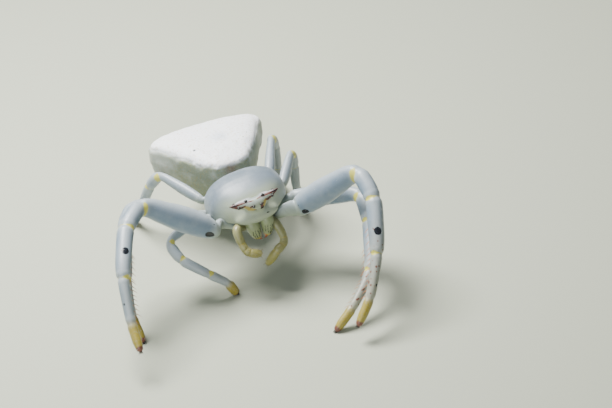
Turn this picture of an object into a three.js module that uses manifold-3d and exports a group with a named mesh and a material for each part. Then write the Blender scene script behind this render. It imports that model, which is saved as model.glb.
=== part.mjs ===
// A white flower crab spider, an adult female at life size, in the ambush stance:
// the first legs held open in front and off the ground, the other six planted.
// Units are millimetres, +Z up. The spider faces -Y, so its own left side is +X.
// The ground is z = 0 and the origin is under the middle of the leg span.
import * as THREE from "three";
import { mergeVertices } from "three/addons/utils/BufferGeometryUtils.js";
import Module from "manifold-3d";

const wasm = await Module();
wasm.setup();

// Driving sizes
const GAP = 0.12; // between neighbouring pieces
const KNEE_GAP = 0.26; // at the sharply bent joint between femur and patella
const SOCKET_GAP = 0.035; // round an eye and at the root of a horn
const HIP_HEIGHT = 3.6; // of the hips above the ground
const ROOT_HEIGHT = HIP_HEIGHT - 0.12; // of the inner ends of the coxae
const CARAPACE_LENGTH = 3.8;
const CARAPACE_WIDTH = 4.15;
const ABDOMEN_LENGTH = 5.6;
const HUMP_SPAN = 6.15; // across the two corners of the abdomen
const HORN_SPAN = 2.72; // across the tips of the eye horns
const HORN_LENGTH = 0.5; // of the free point of each horn
const EYE_RADIUS = 0.11;
const HEAD_ROLL = 6.5; // degrees, the spider's left side up
const HEAD_PITCH = 2; // degrees, nose down
const FOOT_RADIUS = 0.15; // the rounded end of a tarsus
const FOOT_SINK = 0.05; // how much of a planted foot's round end the ground flattens

// Pieces of a leg from the hip outwards. The last two segments, metatarsus and tarsus, are
// one piece, the foot, but keep their own lengths and thicknesses.
const SEGMENTS = ["coxa", "femur", "patella", "tibia", "foot"];
const PAIRS = [
  {
    hip: [2.1, -1.25],
    root: [0.6, -0.85],
    lengths: [0, 4.35, 1.75, 2.85, 2.35, 1.5],
    thick: [0.9, 1.38, 0.92, 0.9, 0.62, 0.5],
    sides: 12,
  },
  {
    hip: [2.3, -0.15],
    root: [0.7, -0.2],
    lengths: [0, 3.8, 1.65, 2.75, 2.2, 1.45],
    thick: [0.84, 1.12, 0.86, 0.82, 0.58, 0.5],
    sides: 12,
  },
  {
    hip: [2.15, 0.8],
    root: [0.65, 0.42],
    lengths: [0, 2.4, 1.15, 1.6, 1.15, 0.9],
    thick: [0.62, 0.66, 0.58, 0.54, 0.5, 0.5],
    sides: 10,
  },
  {
    hip: [1.75, 1.6],
    root: [0.5, 0.9],
    lengths: [0, 3.1, 1.2, 1.75, 1.25, 0.9],
    thick: [0.62, 0.66, 0.58, 0.54, 0.5, 0.5],
    sides: 10,
  },
];
const RINGS = [6, 10, 7, 8, 13]; // along each piece
const METATARSUS = 4; // places in lengths and thick
const TARSUS = 5;
const JOINT_BEND = 0.4; // the rounded share of a segment at each joint

// The stance: for each leg, [heading, lift] in degrees of femur, patella, tibia, metatarsus
// and tarsus. Heading 0 points straight out to the leg's own side and 90 straight ahead.
// tip is the height of the foot's end above the ground, 0 for a planted foot.
const STANCE = {
  leg_1_left: {
    pair: 0,
    side: 1,
    tip: 0.8,
    turn: [[36, 37], [83, -28], [111, -38], [128, -36], [152, -40]],
  },
  leg_1_right: {
    pair: 0,
    side: -1,
    tip: 1.5,
    turn: [[-12, 32], [45, -8], [64, -34], [80, -60], [90, -52]],
  },
  leg_2_left: {
    pair: 1,
    side: 1,
    tip: 0,
    turn: [[37, 9], [98, -25], [112, -34], [146, -33], [164, -38]],
  },
  leg_2_right: {
    pair: 1,
    side: -1,
    tip: 0,
    turn: [[-16, 24], [50, -12], [69, -33], [95, -86], [100, -46]],
  },
  leg_3_left: {
    pair: 2,
    side: 1,
    tip: 0,
    turn: [[-55, 19], [-62, -66], [-75, -82], [-50, -66], [-40, -50]],
  },
  leg_3_right: {
    pair: 2,
    side: -1,
    tip: 0,
    turn: [[16, -19], [108, -34], [139, -22], [170, -36], [172, -60]],
  },
  leg_4_left: {
    pair: 3,
    side: 1,
    tip: 0,
    turn: [[-65, 16], [-63, -49], [-68, -66], [-74, -60], [-78, -46]],
  },
  leg_4_right: {
    pair: 3,
    side: -1,
    tip: 0,
    turn: [[-63, 10], [-62, -50], [-68, -64], [-74, -58], [-78, -44]],
  },
};

const FLESH = new THREE.Color(0.86, 0.88, 0.84);
const ABDOMEN_WHITE = new THREE.Color(0.93, 0.94, 0.94);
const EYE_FIELD = new THREE.Color(0.8, 0.8, 0.74);
const EYE_BLACK = new THREE.Color(0.04, 0.03, 0.03);

// Solids

function solidOf(geometry) {
  const bare = geometry.clone();
  bare.deleteAttribute("normal");
  bare.deleteAttribute("uv");
  const merged = mergeVertices(bare, 1e-4);
  return new wasm.Manifold(
    new wasm.Mesh({
      numProp: 3,
      vertProperties: merged.attributes.position.array,
      triVerts: new Uint32Array(merged.index.array),
    }),
  );
}

function geometryOf(solid) {
  const mesh = solid.getMesh();
  return new THREE.BufferGeometry()
    .setAttribute("position", new THREE.BufferAttribute(mesh.vertProperties, 3))
    .setIndex(new THREE.BufferAttribute(mesh.triVerts, 1));
}

// The largest of the closed surfaces that a cut has left.
function largest(solid) {
  return solid.decompose().sort((a, b) => b.volume() - a.volume())[0];
}

function moved(geometry, place) {
  const at = geometry.attributes.position;
  const p = new THREE.Vector3();
  for (let i = 0; i < at.count; i++) {
    p.copy(place(new THREE.Vector3().fromBufferAttribute(at, i)));
    at.setXYZ(i, p.x, p.y, p.z);
  }
  return geometry;
}

const signedPower = (x, power) => Math.sign(x) * Math.abs(x) ** power;

// A value that runs straight from one [y, value] pair of an outline to the next.
function outline(...stations) {
  return (y) => {
    const last = stations.length - 1;
    if (y <= stations[0][0]) return stations[0][1];
    if (y >= stations[last][0]) return stations[last][1];
    const i = stations.findIndex(([at]) => at > y) - 1;
    const [a, b] = [stations[i], stations[i + 1]];
    return THREE.MathUtils.lerp(a[1], b[1], (y - a[0]) / (b[0] - a[0]));
  };
}

// A closed body along Y whose half width, back and belly follow outlines: width(y) to
// each side of the rim, top(y) above it and bottom(y) below it. blunt squares off both
// ends and square does the same to the cross-section. grow thickens it all round.
function mound(spec, grow = 0) {
  const middle = (spec.front + spec.rear) / 2;
  const half = (spec.rear - spec.front) / 2;
  const ball = new THREE.SphereGeometry(1, spec.around, spec.along);
  return solidOf(
    moved(ball, (p) => {
      const ring = Math.hypot(p.x, p.z);
      const y = middle + half * signedPower(p.y, spec.blunt);
      const spread = ring < 1e-6 ? 0 : ring ** spec.blunt;
      const across = ring < 1e-6 ? 0 : signedPower(p.x / ring, spec.square);
      const lift = ring < 1e-6 ? 0 : signedPower(p.z / ring, spec.square);
      const reach = lift > 0 ? spec.top(y) : spec.bottom(y);
      return new THREE.Vector3(
        across * spread * (spec.width(y) + grow),
        y + grow * p.y,
        spec.rim(y) + lift * spread * (reach + grow),
      );
    }),
  );
}

// A tube whose rings stand across a path. sizes(t) gives [half height, half width].
function tube({ path, from, to, rings, sides, up, sizes }, grow = 0) {
  const stations = [];
  let dorsal = up.clone();
  for (let i = 0; i <= rings; i++) {
    const t = i / rings;
    const u = THREE.MathUtils.lerp(from, to, t);
    const tangent = path.getTangentAt(u);
    dorsal.addScaledVector(tangent, -dorsal.dot(tangent)).normalize();
    const side = new THREE.Vector3().crossVectors(dorsal, tangent);
    stations.push({ at: path.getPointAt(u), dorsal: dorsal.clone(), side, size: sizes(t) });
  }
  const drum = new THREE.CylinderGeometry(1, 1, 1, sides, rings);
  return solidOf(
    moved(drum, (p) => {
      const { at, dorsal, side, size } = stations[Math.round((p.y + 0.5) * rings)];
      return at
        .clone()
        .addScaledVector(dorsal, p.x * (size[0] + grow))
        .addScaledVector(side, p.z * (size[1] + grow));
    }),
  );
}

function ballAt(radius, at) {
  return solidOf(new THREE.SphereGeometry(radius, 10, 6).translate(...at));
}

// Front part of the body

const REAR = CARAPACE_LENGTH / 2;
const FACE = -CARAPACE_LENGTH / 2 + 0.15;
const RIM = HIP_HEIGHT + 0.42; // lower edge of the carapace
const BROW_HEIGHT = HIP_HEIGHT + 1.46;

const carapaceSpec = {
  front: FACE,
  rear: REAR,
  around: 28,
  along: 18,
  blunt: 0.62,
  square: 0.82,
  width: outline(
    [FACE, 1.28],
    [-1.0, 1.7],
    [-0.1, CARAPACE_WIDTH / 2],
    [0.6, CARAPACE_WIDTH / 2],
    [1.3, 1.7],
    [REAR, 1.2],
  ),
  rim: () => RIM,
  top: outline([FACE, 0.98], [-1.0, 1.3], [0.2, 1.5], [0.9, 1.36], [1.5, 0.95], [REAR, 0.55]),
  bottom: () => 0.22,
};

const sternumSpec = {
  front: -1.25,
  rear: 1.25,
  around: 20,
  along: 12,
  blunt: 0.6,
  square: 0.7,
  width: outline([-1.25, 0.6], [-0.4, 0.95], [0.5, 0.85], [1.25, 0.4]),
  rim: () => HIP_HEIGHT - 0.1,
  top: () => 0.2,
  bottom: () => 0.52,
};

// The front part of the body is carried a little rolled and nose-down.
function poised(solid) {
  return solid.translate([0, 0, -RIM]).rotate([HEAD_PITCH, -HEAD_ROLL, 0]).translate([0, 0, RIM]);
}

// The brow seen from the front: a straight crest from one horn tip to the other over a lower
// edge that is bowed, as a height above BROW_HEIGHT at a distance from the middle.
const CREST = 0.26;
const browLow = outline(
  [0, -0.58],
  [0.3, -0.53],
  [0.45, -0.39],
  [0.62, -0.22],
  [0.92, -0.09],
  [1.1, 0.03],
  [HORN_SPAN / 2, 0.22],
);

// The brow is a spindle across the face, from share 0 at its right end to share 1. Its two
// points are the horns.
function brow(from, to, grow = 0) {
  const half = HORN_SPAN / 2;
  const size = (x) => (CREST - browLow(Math.abs(x))) / 2;
  const points = Array.from({ length: 17 }, (_, i) => {
    const x = THREE.MathUtils.lerp(-half, half, i / 16);
    const bulge = 0.08 * Math.exp(-((x / 0.8) ** 2));
    return new THREE.Vector3(x, FACE + 0.14 - bulge, BROW_HEIGHT + CREST - size(x));
  });
  return tube(
    {
      path: new THREE.CatmullRomCurve3(points),
      from,
      to,
      rings: Math.ceil((to - from) * 20),
      sides: 10,
      up: new THREE.Vector3(0, 0, 1),
      sizes: (t) => {
        const height = size((2 * THREE.MathUtils.lerp(from, to, t) - 1) * half);
        return [height, height * 0.8];
      },
    },
    grow,
  );
}

// The lower face, which overhangs the roots of the jaws.
function lip(grow = 0) {
  const ball = new THREE.SphereGeometry(1, 20, 10).scale(1.05 + grow, 0.5 + grow, 0.42 + grow);
  return solidOf(ball.translate(0, FACE + 0.2, RIM + 0.16));
}

// The eight eyes, as [out to either side, behind the face, above the brow].
const EYES = {
  front_inner: [0.2, -0.24, -0.02],
  front_outer: [0.92, 0.02, 0.02],
  back_inner: [0.46, 0.1, 0.24],
  back_outer: [1.06, 0.32, 0.12],
};
const SIDES = [["left", 1], ["right", -1]];

function eyeBall([x, y, z], side, grow = 0) {
  return ballAt(EYE_RADIUS + grow, [side * x, FACE + y, BROW_HEIGHT + z]);
}

const sockets = wasm.Manifold.union(
  Object.values(EYES).flatMap((eye) => SIDES.map(([, side]) => eyeBall(eye, side, SOCKET_GAP))),
);
const hornShare = HORN_LENGTH / HORN_SPAN;
const browShare = hornShare + SOCKET_GAP / HORN_SPAN;
const carapace = largest(
  poised(
    mound(carapaceSpec).add(brow(browShare, 1 - browShare)).add(lip()).subtract(sockets),
  ),
);

function horn(side) {
  const whole = side > 0 ? brow(1 - hornShare, 1) : brow(0, hornShare);
  return poised(largest(whole.subtract(mound(carapaceSpec, SOCKET_GAP)).subtract(sockets)));
}

const sternum = mound(sternumSpec);

// Each solid that a neighbour has to clear, grown by the gap.
const clearances = {
  carapace: poised(mound(carapaceSpec, GAP).add(brow(0, 1, GAP)).add(lip(GAP))),
  sternum: mound(sternumSpec, GAP),
};

function cleared(solid, ...blockers) {
  return largest(blockers.reduce((left, blocker) => left.subtract(blocker), solid));
}

// Jaws and feelers

function chelicera(side, grow = 0) {
  const path = new THREE.QuadraticBezierCurve3(
    new THREE.Vector3(side * 0.4, FACE + 0.28, RIM + 0.1),
    new THREE.Vector3(side * 0.42, FACE - 0.02, RIM - 0.5),
    new THREE.Vector3(side * 0.24, FACE + 0.12, RIM - 1.22),
  );
  const size = outline([0, 0.33], [0.35, 0.34], [0.8, 0.25], [1, 0.12]);
  return tube(
    {
      path,
      from: 0,
      to: 1,
      rings: 8,
      sides: 12,
      up: new THREE.Vector3(0, -1, 0),
      sizes: (t) => [size(t) * 1.05, size(t)],
    },
    grow,
  );
}

// Joints of each feeler, as [out to its own side, y, z].
const FEELER_JOINTS = {
  pedipalp_left: [
    [0.62, -1.05, HIP_HEIGHT - 0.25],
    [0.85, -1.75, HIP_HEIGHT - 0.2],
    [1.02, -2.25, HIP_HEIGHT - 0.95],
    [0.5, -2.45, HIP_HEIGHT - 1.35],
    [-0.02, -2.2, HIP_HEIGHT - 2.15],
  ],
  pedipalp_right: [
    [0.62, -1.05, HIP_HEIGHT - 0.25],
    [1.22, -1.75, HIP_HEIGHT + 0.05],
    [1.14, -2.25, HIP_HEIGHT - 0.65],
    [0.9, -2.5, HIP_HEIGHT - 0.95],
    [0.3, -2.65, HIP_HEIGHT - 1.1],
  ],
};

function feeler(name, side) {
  const path = new THREE.CatmullRomCurve3(
    FEELER_JOINTS[name].map(([x, y, z]) => new THREE.Vector3(side * x, y, z)),
  );
  const size = outline([0, 0.28], [0.5, 0.22], [0.85, 0.23], [1, 0.12]);
  return tube({
    path,
    from: 0,
    to: 1,
    rings: 14,
    sides: 10,
    up: new THREE.Vector3(0, 0, 1),
    sizes: (t) => [size(t), size(t)],
  });
}

// Abdomen, its stalk and the spinnerets

const ABDOMEN_FRONT = REAR + 0.2;
const ABDOMEN_REAR = ABDOMEN_FRONT + ABDOMEN_LENGTH;
const HUMPS = 6.0; // where along Y the corners stand
const abdomenSpec = {
  front: ABDOMEN_FRONT,
  rear: ABDOMEN_REAR,
  around: 32,
  along: 24,
  blunt: 0.55,
  square: 0.72,
  width: outline(
    [ABDOMEN_FRONT, 1.25],
    [HUMPS - 0.7, HUMP_SPAN / 2 - 0.32],
    [HUMPS - 0.15, HUMP_SPAN / 2],
    [HUMPS + 0.15, HUMP_SPAN / 2],
    [HUMPS + 0.7, HUMP_SPAN / 2 - 0.7],
    [ABDOMEN_REAR, 0.9],
  ),
  rim: outline([ABDOMEN_FRONT, 4.8], [HUMPS, 4.5], [ABDOMEN_REAR, 3.6]),
  top: outline([ABDOMEN_FRONT, 0.55], [4.2, 0.78], [HUMPS, 0.78], [ABDOMEN_REAR, 0.4]),
  bottom: outline([ABDOMEN_FRONT, 1.5], [4.2, 2.7], [HUMPS, 2.55], [ABDOMEN_REAR, 1.2]),
};
const abdomen = mound(abdomenSpec);
clearances.abdomen = mound(abdomenSpec, GAP);

function stalk(grow = 0) {
  const path = new THREE.LineCurve3(
    new THREE.Vector3(0, REAR - 0.9, HIP_HEIGHT + 0.1),
    new THREE.Vector3(0, ABDOMEN_FRONT + 0.6, HIP_HEIGHT + 0.35),
  );
  return tube(
    {
      path,
      from: 0,
      to: 1,
      rings: 4,
      sides: 12,
      up: new THREE.Vector3(0, 0, 1),
      sizes: () => [0.3, 0.4],
    },
    grow,
  );
}
clearances.pedicel = stalk(GAP);

function spinnerets() {
  const root = new THREE.Vector3(0, ABDOMEN_REAR - 0.8, 2.9);
  const cone = (x, spread, length, radius) =>
    tube({
      path: new THREE.LineCurve3(
        root.clone().add(new THREE.Vector3(x, 0, 0)),
        root.clone().add(new THREE.Vector3(x + spread, length, -0.75)),
      ),
      from: 0,
      to: 1,
      rings: 3,
      sides: 8,
      up: new THREE.Vector3(0, 0, 1),
      sizes: (t) => [radius * (1 - 0.4 * t), radius * (1 - 0.4 * t)],
    });
  return wasm.Manifold.union([
    cone(0, 0, 1.0, 0.42),
    ...[-1, 1].flatMap((side) => [
      cone(side * 0.2, side * 0.14, 1.25, 0.26),
      cone(side * 0.15, side * 0.1, 0.95, 0.3),
    ]),
  ]);
}

// Legs

function direction(side, [heading, lift]) {
  const [h, l] = [heading, lift].map(THREE.MathUtils.degToRad);
  return new THREE.Vector3(
    side * Math.cos(h) * Math.cos(l),
    -Math.sin(h) * Math.cos(l),
    Math.sin(l),
  );
}

// Joint centres from the body out to the tip. The last three segments are tilted
// together until the lowest edge of the tip is at its height.
function legJoints({ pair, side, tip, turn }) {
  const { hip, root, lengths } = PAIRS[pair];
  const start = [
    new THREE.Vector3(side * root[0], root[1], ROOT_HEIGHT),
    new THREE.Vector3(side * hip[0], hip[1], HIP_HEIGHT),
  ];
  const chain = (tilt) => {
    const joints = [...start];
    turn.forEach(([heading, lift], i) => {
      const step = direction(side, [heading, i > 1 ? lift + tilt : lift]);
      joints.push(joints[joints.length - 1].clone().addScaledVector(step, lengths[i + 1]));
    });
    return joints;
  };
  const lowest = (joints) => {
    const [ankle, end] = joints.slice(-2);
    const slope = (end.z - ankle.z) / ankle.distanceTo(end);
    return end.z - FOOT_RADIUS * Math.sqrt(1 - slope ** 2);
  };
  const goal = tip > 0 ? tip : -FOOT_SINK;
  let [low, high] = [-40, 40];
  for (let i = 0; i < 40; i++) {
    const tilt = (low + high) / 2;
    if (lowest(chain(tilt)) > goal) high = tilt;
    else low = tilt;
  }
  return chain((low + high) / 2);
}

// A path of straight runs with each joint rounded off, and where along it the joints are.
function legPath(joints) {
  const path = new THREE.CurvePath();
  const lengths = [0];
  let from = joints[0];
  let travelled = 0;
  for (let i = 1; i < joints.length - 1; i++) {
    const [before, joint, after] = [joints[i - 1], joints[i], joints[i + 1]];
    const bend = JOINT_BEND * Math.min(before.distanceTo(joint), joint.distanceTo(after));
    const enter = joint.clone().lerp(before, bend / joint.distanceTo(before));
    const leave = joint.clone().lerp(after, bend / joint.distanceTo(after));
    const run = new THREE.LineCurve3(from, enter);
    const corner = new THREE.QuadraticBezierCurve3(enter, joint, leave);
    path.add(run);
    path.add(corner);
    lengths.push(travelled + run.getLength() + corner.getLength() / 2);
    travelled += run.getLength() + corner.getLength();
    from = leave;
  }
  path.add(new THREE.LineCurve3(from, joints.at(-1)));
  lengths.push(path.getLength());
  return { path, at: lengths.map((l) => l / path.getLength()) };
}

// How a segment's half thickness runs along it, as a share of its whole thickness.
const SHAPES = {
  coxa: outline([0, 0.5], [0.55, 0.5], [0.72, 0.44], [1, 0.46]),
  femur: outline([0, 0.34], [0.18, 0.45], [0.45, 0.5], [0.75, 0.43], [1, 0.35]),
  patella: outline([0, 0.45], [0.3, 0.5], [0.7, 0.5], [1, 0.46]),
  tibia: outline([0, 0.47], [0.15, 0.5], [0.6, 0.48], [0.9, 0.44], [1, 0.4]),
  metatarsus: outline([0, 0.5], [0.15, 0.48], [0.85, 0.42], [1, 0.42]),
  tarsus: outline([0, 0.5], [0.6, 0.5], [0.88, 0.4], [1, FOOT_RADIUS / 0.5]),
};

// Half the height of a leg's piece at the share t of its length.
function halfHeight({ lengths, thick }, piece) {
  if (SEGMENTS[piece] !== "foot") return (t) => SHAPES[SEGMENTS[piece]](t) * thick[piece];
  const ankle = lengths[METATARSUS] / (lengths[METATARSUS] + lengths[TARSUS]);
  return (t) =>
    t < ankle
      ? SHAPES.metatarsus(t / ankle) * thick[METATARSUS]
      : SHAPES.tarsus((t - ankle) / (1 - ankle)) * thick[TARSUS];
}

function legSegment(name, piece, grow = 0) {
  const leg = STANCE[name];
  const { path, at } = legPath(legJoints(leg));
  const length = path.getLength();
  const before = (SEGMENTS[piece] === "patella" ? KNEE_GAP : GAP) / 2 - grow;
  const after = (SEGMENTS[piece] === "femur" ? KNEE_GAP : GAP) / 2 - grow;
  const height = halfHeight(PAIRS[leg.pair], piece);
  const flat = SEGMENTS[piece] === "femur" ? 0.8 : 0.94; // width as a share of height
  return tube(
    {
      path,
      from: piece === 0 ? 0 : at[piece] + before / length,
      to: SEGMENTS[piece] === "foot" ? 1 : at[piece + 1] - after / length,
      rings: RINGS[piece],
      sides: PAIRS[leg.pair].sides,
      up: new THREE.Vector3(0, 0, 1),
      sizes: (t) => [height(t), height(t) * flat],
    },
    grow,
  );
}

// A planted foot is flat where it meets the ground.
function planted(solid) {
  return solidOf(
    moved(geometryOf(solid).toNonIndexed(), (p) => p.setZ(Math.max(p.z, 0))),
  );
}

// The assembly

const spider = new THREE.Group();

function addPiece(name, solid, color) {
  const material = new THREE.MeshStandardMaterial({ color, roughness: 0.45, metalness: 0 });
  const mesh = new THREE.Mesh(geometryOf(solid), material);
  mesh.name = name;
  spider.add(mesh);
}

addPiece("carapace", carapace, EYE_FIELD);
for (const [label, side] of SIDES) {
  addPiece("horn_" + label, horn(side), EYE_FIELD);
  for (const [row, eye] of Object.entries(EYES)) {
    addPiece("eye_" + row + "_" + label, poised(eyeBall(eye, side)), EYE_BLACK);
  }
}
addPiece("sternum", sternum, FLESH);
addPiece("abdomen", abdomen, ABDOMEN_WHITE);
addPiece(
  "pedicel",
  cleared(stalk(), clearances.carapace, clearances.sternum, clearances.abdomen),
  FLESH,
);
addPiece("spinnerets", cleared(spinnerets(), clearances.abdomen), FLESH);

for (const [label, side] of SIDES) {
  const jaw = poised(chelicera(side).trimByPlane([side, 0, 0], GAP / 2));
  addPiece("chelicera_" + label, cleared(jaw, clearances.carapace, clearances.sternum), FLESH);
  clearances["chelicera_" + label] = poised(chelicera(side, GAP));
}

// What each coxa takes up, with the gap: its tube and a ball round its inner end.
const coxae = Object.entries(STANCE).map(([name, { pair, side }]) => {
  const [x, y] = PAIRS[pair].root;
  const radius = PAIRS[pair].thick[0] / 2 + GAP;
  return legSegment(name, 0, GAP).add(ballAt(radius, [side * x, y, ROOT_HEIGHT]));
});
const body = [clearances.carapace, clearances.sternum, clearances.abdomen, clearances.pedicel];
for (const [index, name] of Object.keys(STANCE).entries()) {
  SEGMENTS.forEach((segment, i) => {
    let solid = legSegment(name, i);
    if (segment === "coxa") solid = cleared(solid, ...body, ...coxae.slice(0, index));
    if (segment === "foot" && STANCE[name].tip === 0) solid = planted(solid);
    addPiece(name + "_" + segment, solid, FLESH);
  });
}

for (const [label, side] of SIDES) {
  const name = "pedipalp_" + label;
  const blockers = [
    ...body,
    clearances["chelicera_" + label],
    ...coxae,
  ];
  addPiece(name, cleared(feeler(name, side), ...blockers), FLESH);
}

// The origin goes on the ground under the middle of the leg span.
const span = new THREE.Box3().setFromObject(spider);
const centre = span.getCenter(new THREE.Vector3());
spider.position.set(-centre.x, -centre.y, -span.min.z);

export default spider;
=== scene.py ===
"""The looks of a white crab spider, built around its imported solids.

Every mesh is shaped in millimetres in the frame's own axes and then brought to metres.
The spider faces -Y, its left side is +X and it stands on z = 0.
"""

import logging
import math
import random
from bisect import bisect_right
from collections.abc import Callable, Sequence
from dataclasses import dataclass, field, replace
from enum import Enum
from functools import cache

import bmesh
import bpy
import numpy as np
from mathutils import Matrix, Vector, noise


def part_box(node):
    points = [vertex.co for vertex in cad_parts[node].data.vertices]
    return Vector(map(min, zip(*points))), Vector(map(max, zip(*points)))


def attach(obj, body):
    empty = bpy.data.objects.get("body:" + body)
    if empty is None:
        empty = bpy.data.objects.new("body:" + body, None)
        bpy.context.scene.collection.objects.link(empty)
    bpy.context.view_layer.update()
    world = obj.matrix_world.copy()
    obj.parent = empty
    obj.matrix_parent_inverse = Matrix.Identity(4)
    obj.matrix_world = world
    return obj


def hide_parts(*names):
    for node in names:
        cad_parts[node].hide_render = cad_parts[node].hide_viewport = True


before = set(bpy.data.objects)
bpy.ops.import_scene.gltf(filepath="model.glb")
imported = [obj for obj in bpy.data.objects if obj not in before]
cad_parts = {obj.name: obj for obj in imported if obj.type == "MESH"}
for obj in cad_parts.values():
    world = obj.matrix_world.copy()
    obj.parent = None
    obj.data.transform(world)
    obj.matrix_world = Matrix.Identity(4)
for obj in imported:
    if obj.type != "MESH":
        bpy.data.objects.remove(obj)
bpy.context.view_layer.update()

LOG = logging.getLogger("crab_spider")
MM = 0.001
MERGE_M = 1e-7
TINY = 1e-6
# The depth of a point well outside every mark.
FAR = 0.2
# The bake map of the hairs, and how much of it one hair takes.
BAKE_MAP = "OFBake"
PATCH = 0.003
SIDES = {"left": 1, "right": -1}

Colour = tuple[float, float, float]
Station = tuple[float, float]
Mesh = bmesh.types.BMesh
Vert = bmesh.types.BMVert
Reading = Callable[[Vert], float]


# Shader maths


class Signal:
    """One number in a shader, which takes part in Python expressions."""

    def __init__(self, maker: "Maker", socket: bpy.types.NodeSocket) -> None:
        """Keeps the socket that carries the number.

        Args:
            maker: The material's node maker.
            socket: An output socket.
        """
        self.maker = maker
        self.socket = socket

    def _join(self, operation: str, *terms: "Signal | float") -> "Signal":
        """Adds a Math node.

        Args:
            operation: The Math node's operation.
            terms: Its inputs in order.

        Returns:
            The node's result.
        """
        inputs = dict(enumerate(terms))
        made = self.maker.node("ShaderNodeMath", {"operation": operation}, inputs)
        return Signal(self.maker, made.outputs[0])

    def __add__(self, other: "Signal | float") -> "Signal":
        """Sum."""
        return self._join("ADD", self, other)

    __radd__ = __add__

    def __sub__(self, other: "Signal | float") -> "Signal":
        """Difference."""
        return self._join("SUBTRACT", self, other)

    def __rsub__(self, other: float) -> "Signal":
        """Difference from a plain number."""
        return self._join("SUBTRACT", other, self)

    def __mul__(self, other: "Signal | float") -> "Signal":
        """Product."""
        return self._join("MULTIPLY", self, other)

    __rmul__ = __mul__

    def __truediv__(self, other: "Signal | float") -> "Signal":
        """Quotient."""
        return self._join("DIVIDE", self, other)

    def clamped(self) -> "Signal":
        """The number kept between 0 and 1."""
        return self._join("MINIMUM", self._join("MAXIMUM", self, 0.0), 1.0)


class Maker:
    """Adds nodes to one material."""

    def __init__(self, name: str) -> None:
        """Starts an empty material.

        Args:
            name: The material's name.
        """
        self.material = bpy.data.materials.new(name)
        self.material.use_nodes = True
        self.tree = self.material.node_tree
        self.tree.nodes.clear()

    def node(
        self, kind: str, settings: dict | None = None, inputs: dict | None = None
    ) -> bpy.types.Node:
        """Adds any node.

        Args:
            kind: The node's type.
            settings: Its settings, set first.
            inputs: A value, a Signal or an output socket for each input, by name or number.

        Returns:
            The node.
        """
        made = self.tree.nodes.new(kind)
        for key, value in (settings or {}).items():
            setattr(made, key, value)
        for key, value in (inputs or {}).items():
            socket = made.inputs[key]
            if isinstance(value, Signal):
                self.tree.links.new(value.socket, socket)
            elif isinstance(value, bpy.types.NodeSocket):
                self.tree.links.new(value, socket)
            else:
                socket.default_value = value
        return made

    def reading(self, attribute: str) -> Signal:
        """A number that the mesh holds at each point.

        Args:
            attribute: The attribute's name.

        Returns:
            Its value.
        """
        made = self.node("ShaderNodeAttribute", {"attribute_name": attribute})
        return Signal(self, made.outputs["Fac"])

    def place(self) -> bpy.types.NodeSocket:
        """The point's place on the object, in metres."""
        return self.node("ShaderNodeTexCoord").outputs["Object"]

    def grain(self, per_mm: float, detail: float = 2.0, roughness: float = 0.5) -> Signal:
        """Noise over the object.

        Args:
            per_mm: How many cells to a millimetre.
            detail: The noise's detail.
            roughness: The noise's roughness.

        Returns:
            A number around 0.5.
        """
        inputs = {
            "Vector": self.place(),
            "Scale": per_mm / MM,
            "Detail": detail,
            "Roughness": roughness,
        }
        return Signal(self, self.node("ShaderNodeTexNoise", None, inputs).outputs[0])

    def mixed(self, share: Signal | float, first: object, second: object) -> bpy.types.NodeSocket:
        """Blends two colours.

        Args:
            share: How much of the second shows.
            first: A colour or an output socket.
            second: A colour or an output socket.

        Returns:
            The blended colour.
        """
        full = [v if isinstance(v, bpy.types.NodeSocket) else (*v, 1.0) for v in (first, second)]
        made = self.node("ShaderNodeMix", {"data_type": "RGBA"}, {0: share, 6: full[0], 7: full[1]})
        return made.outputs[2]

    def surface(
        self, inputs: dict, bump: Signal | None = None, height: float = 0.0
    ) -> bpy.types.Material:
        """Ends the material with a Principled shader.

        Args:
            inputs: The shader's own inputs.
            bump: Relief, as a number around 0.5.
            height: How far the relief reaches, in millimetres.

        Returns:
            The finished material.
        """
        if bump is not None:
            relief = {"Height": bump, "Distance": height * MM, "Strength": 1.0}
            inputs = {**inputs, "Normal": self.node("ShaderNodeBump", None, relief).outputs[0]}
        shader = self.node("ShaderNodeBsdfPrincipled", None, inputs)
        output = self.node("ShaderNodeOutputMaterial")
        self.tree.links.new(shader.outputs[0], output.inputs[0])
        return self.material


# Finishes


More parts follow.
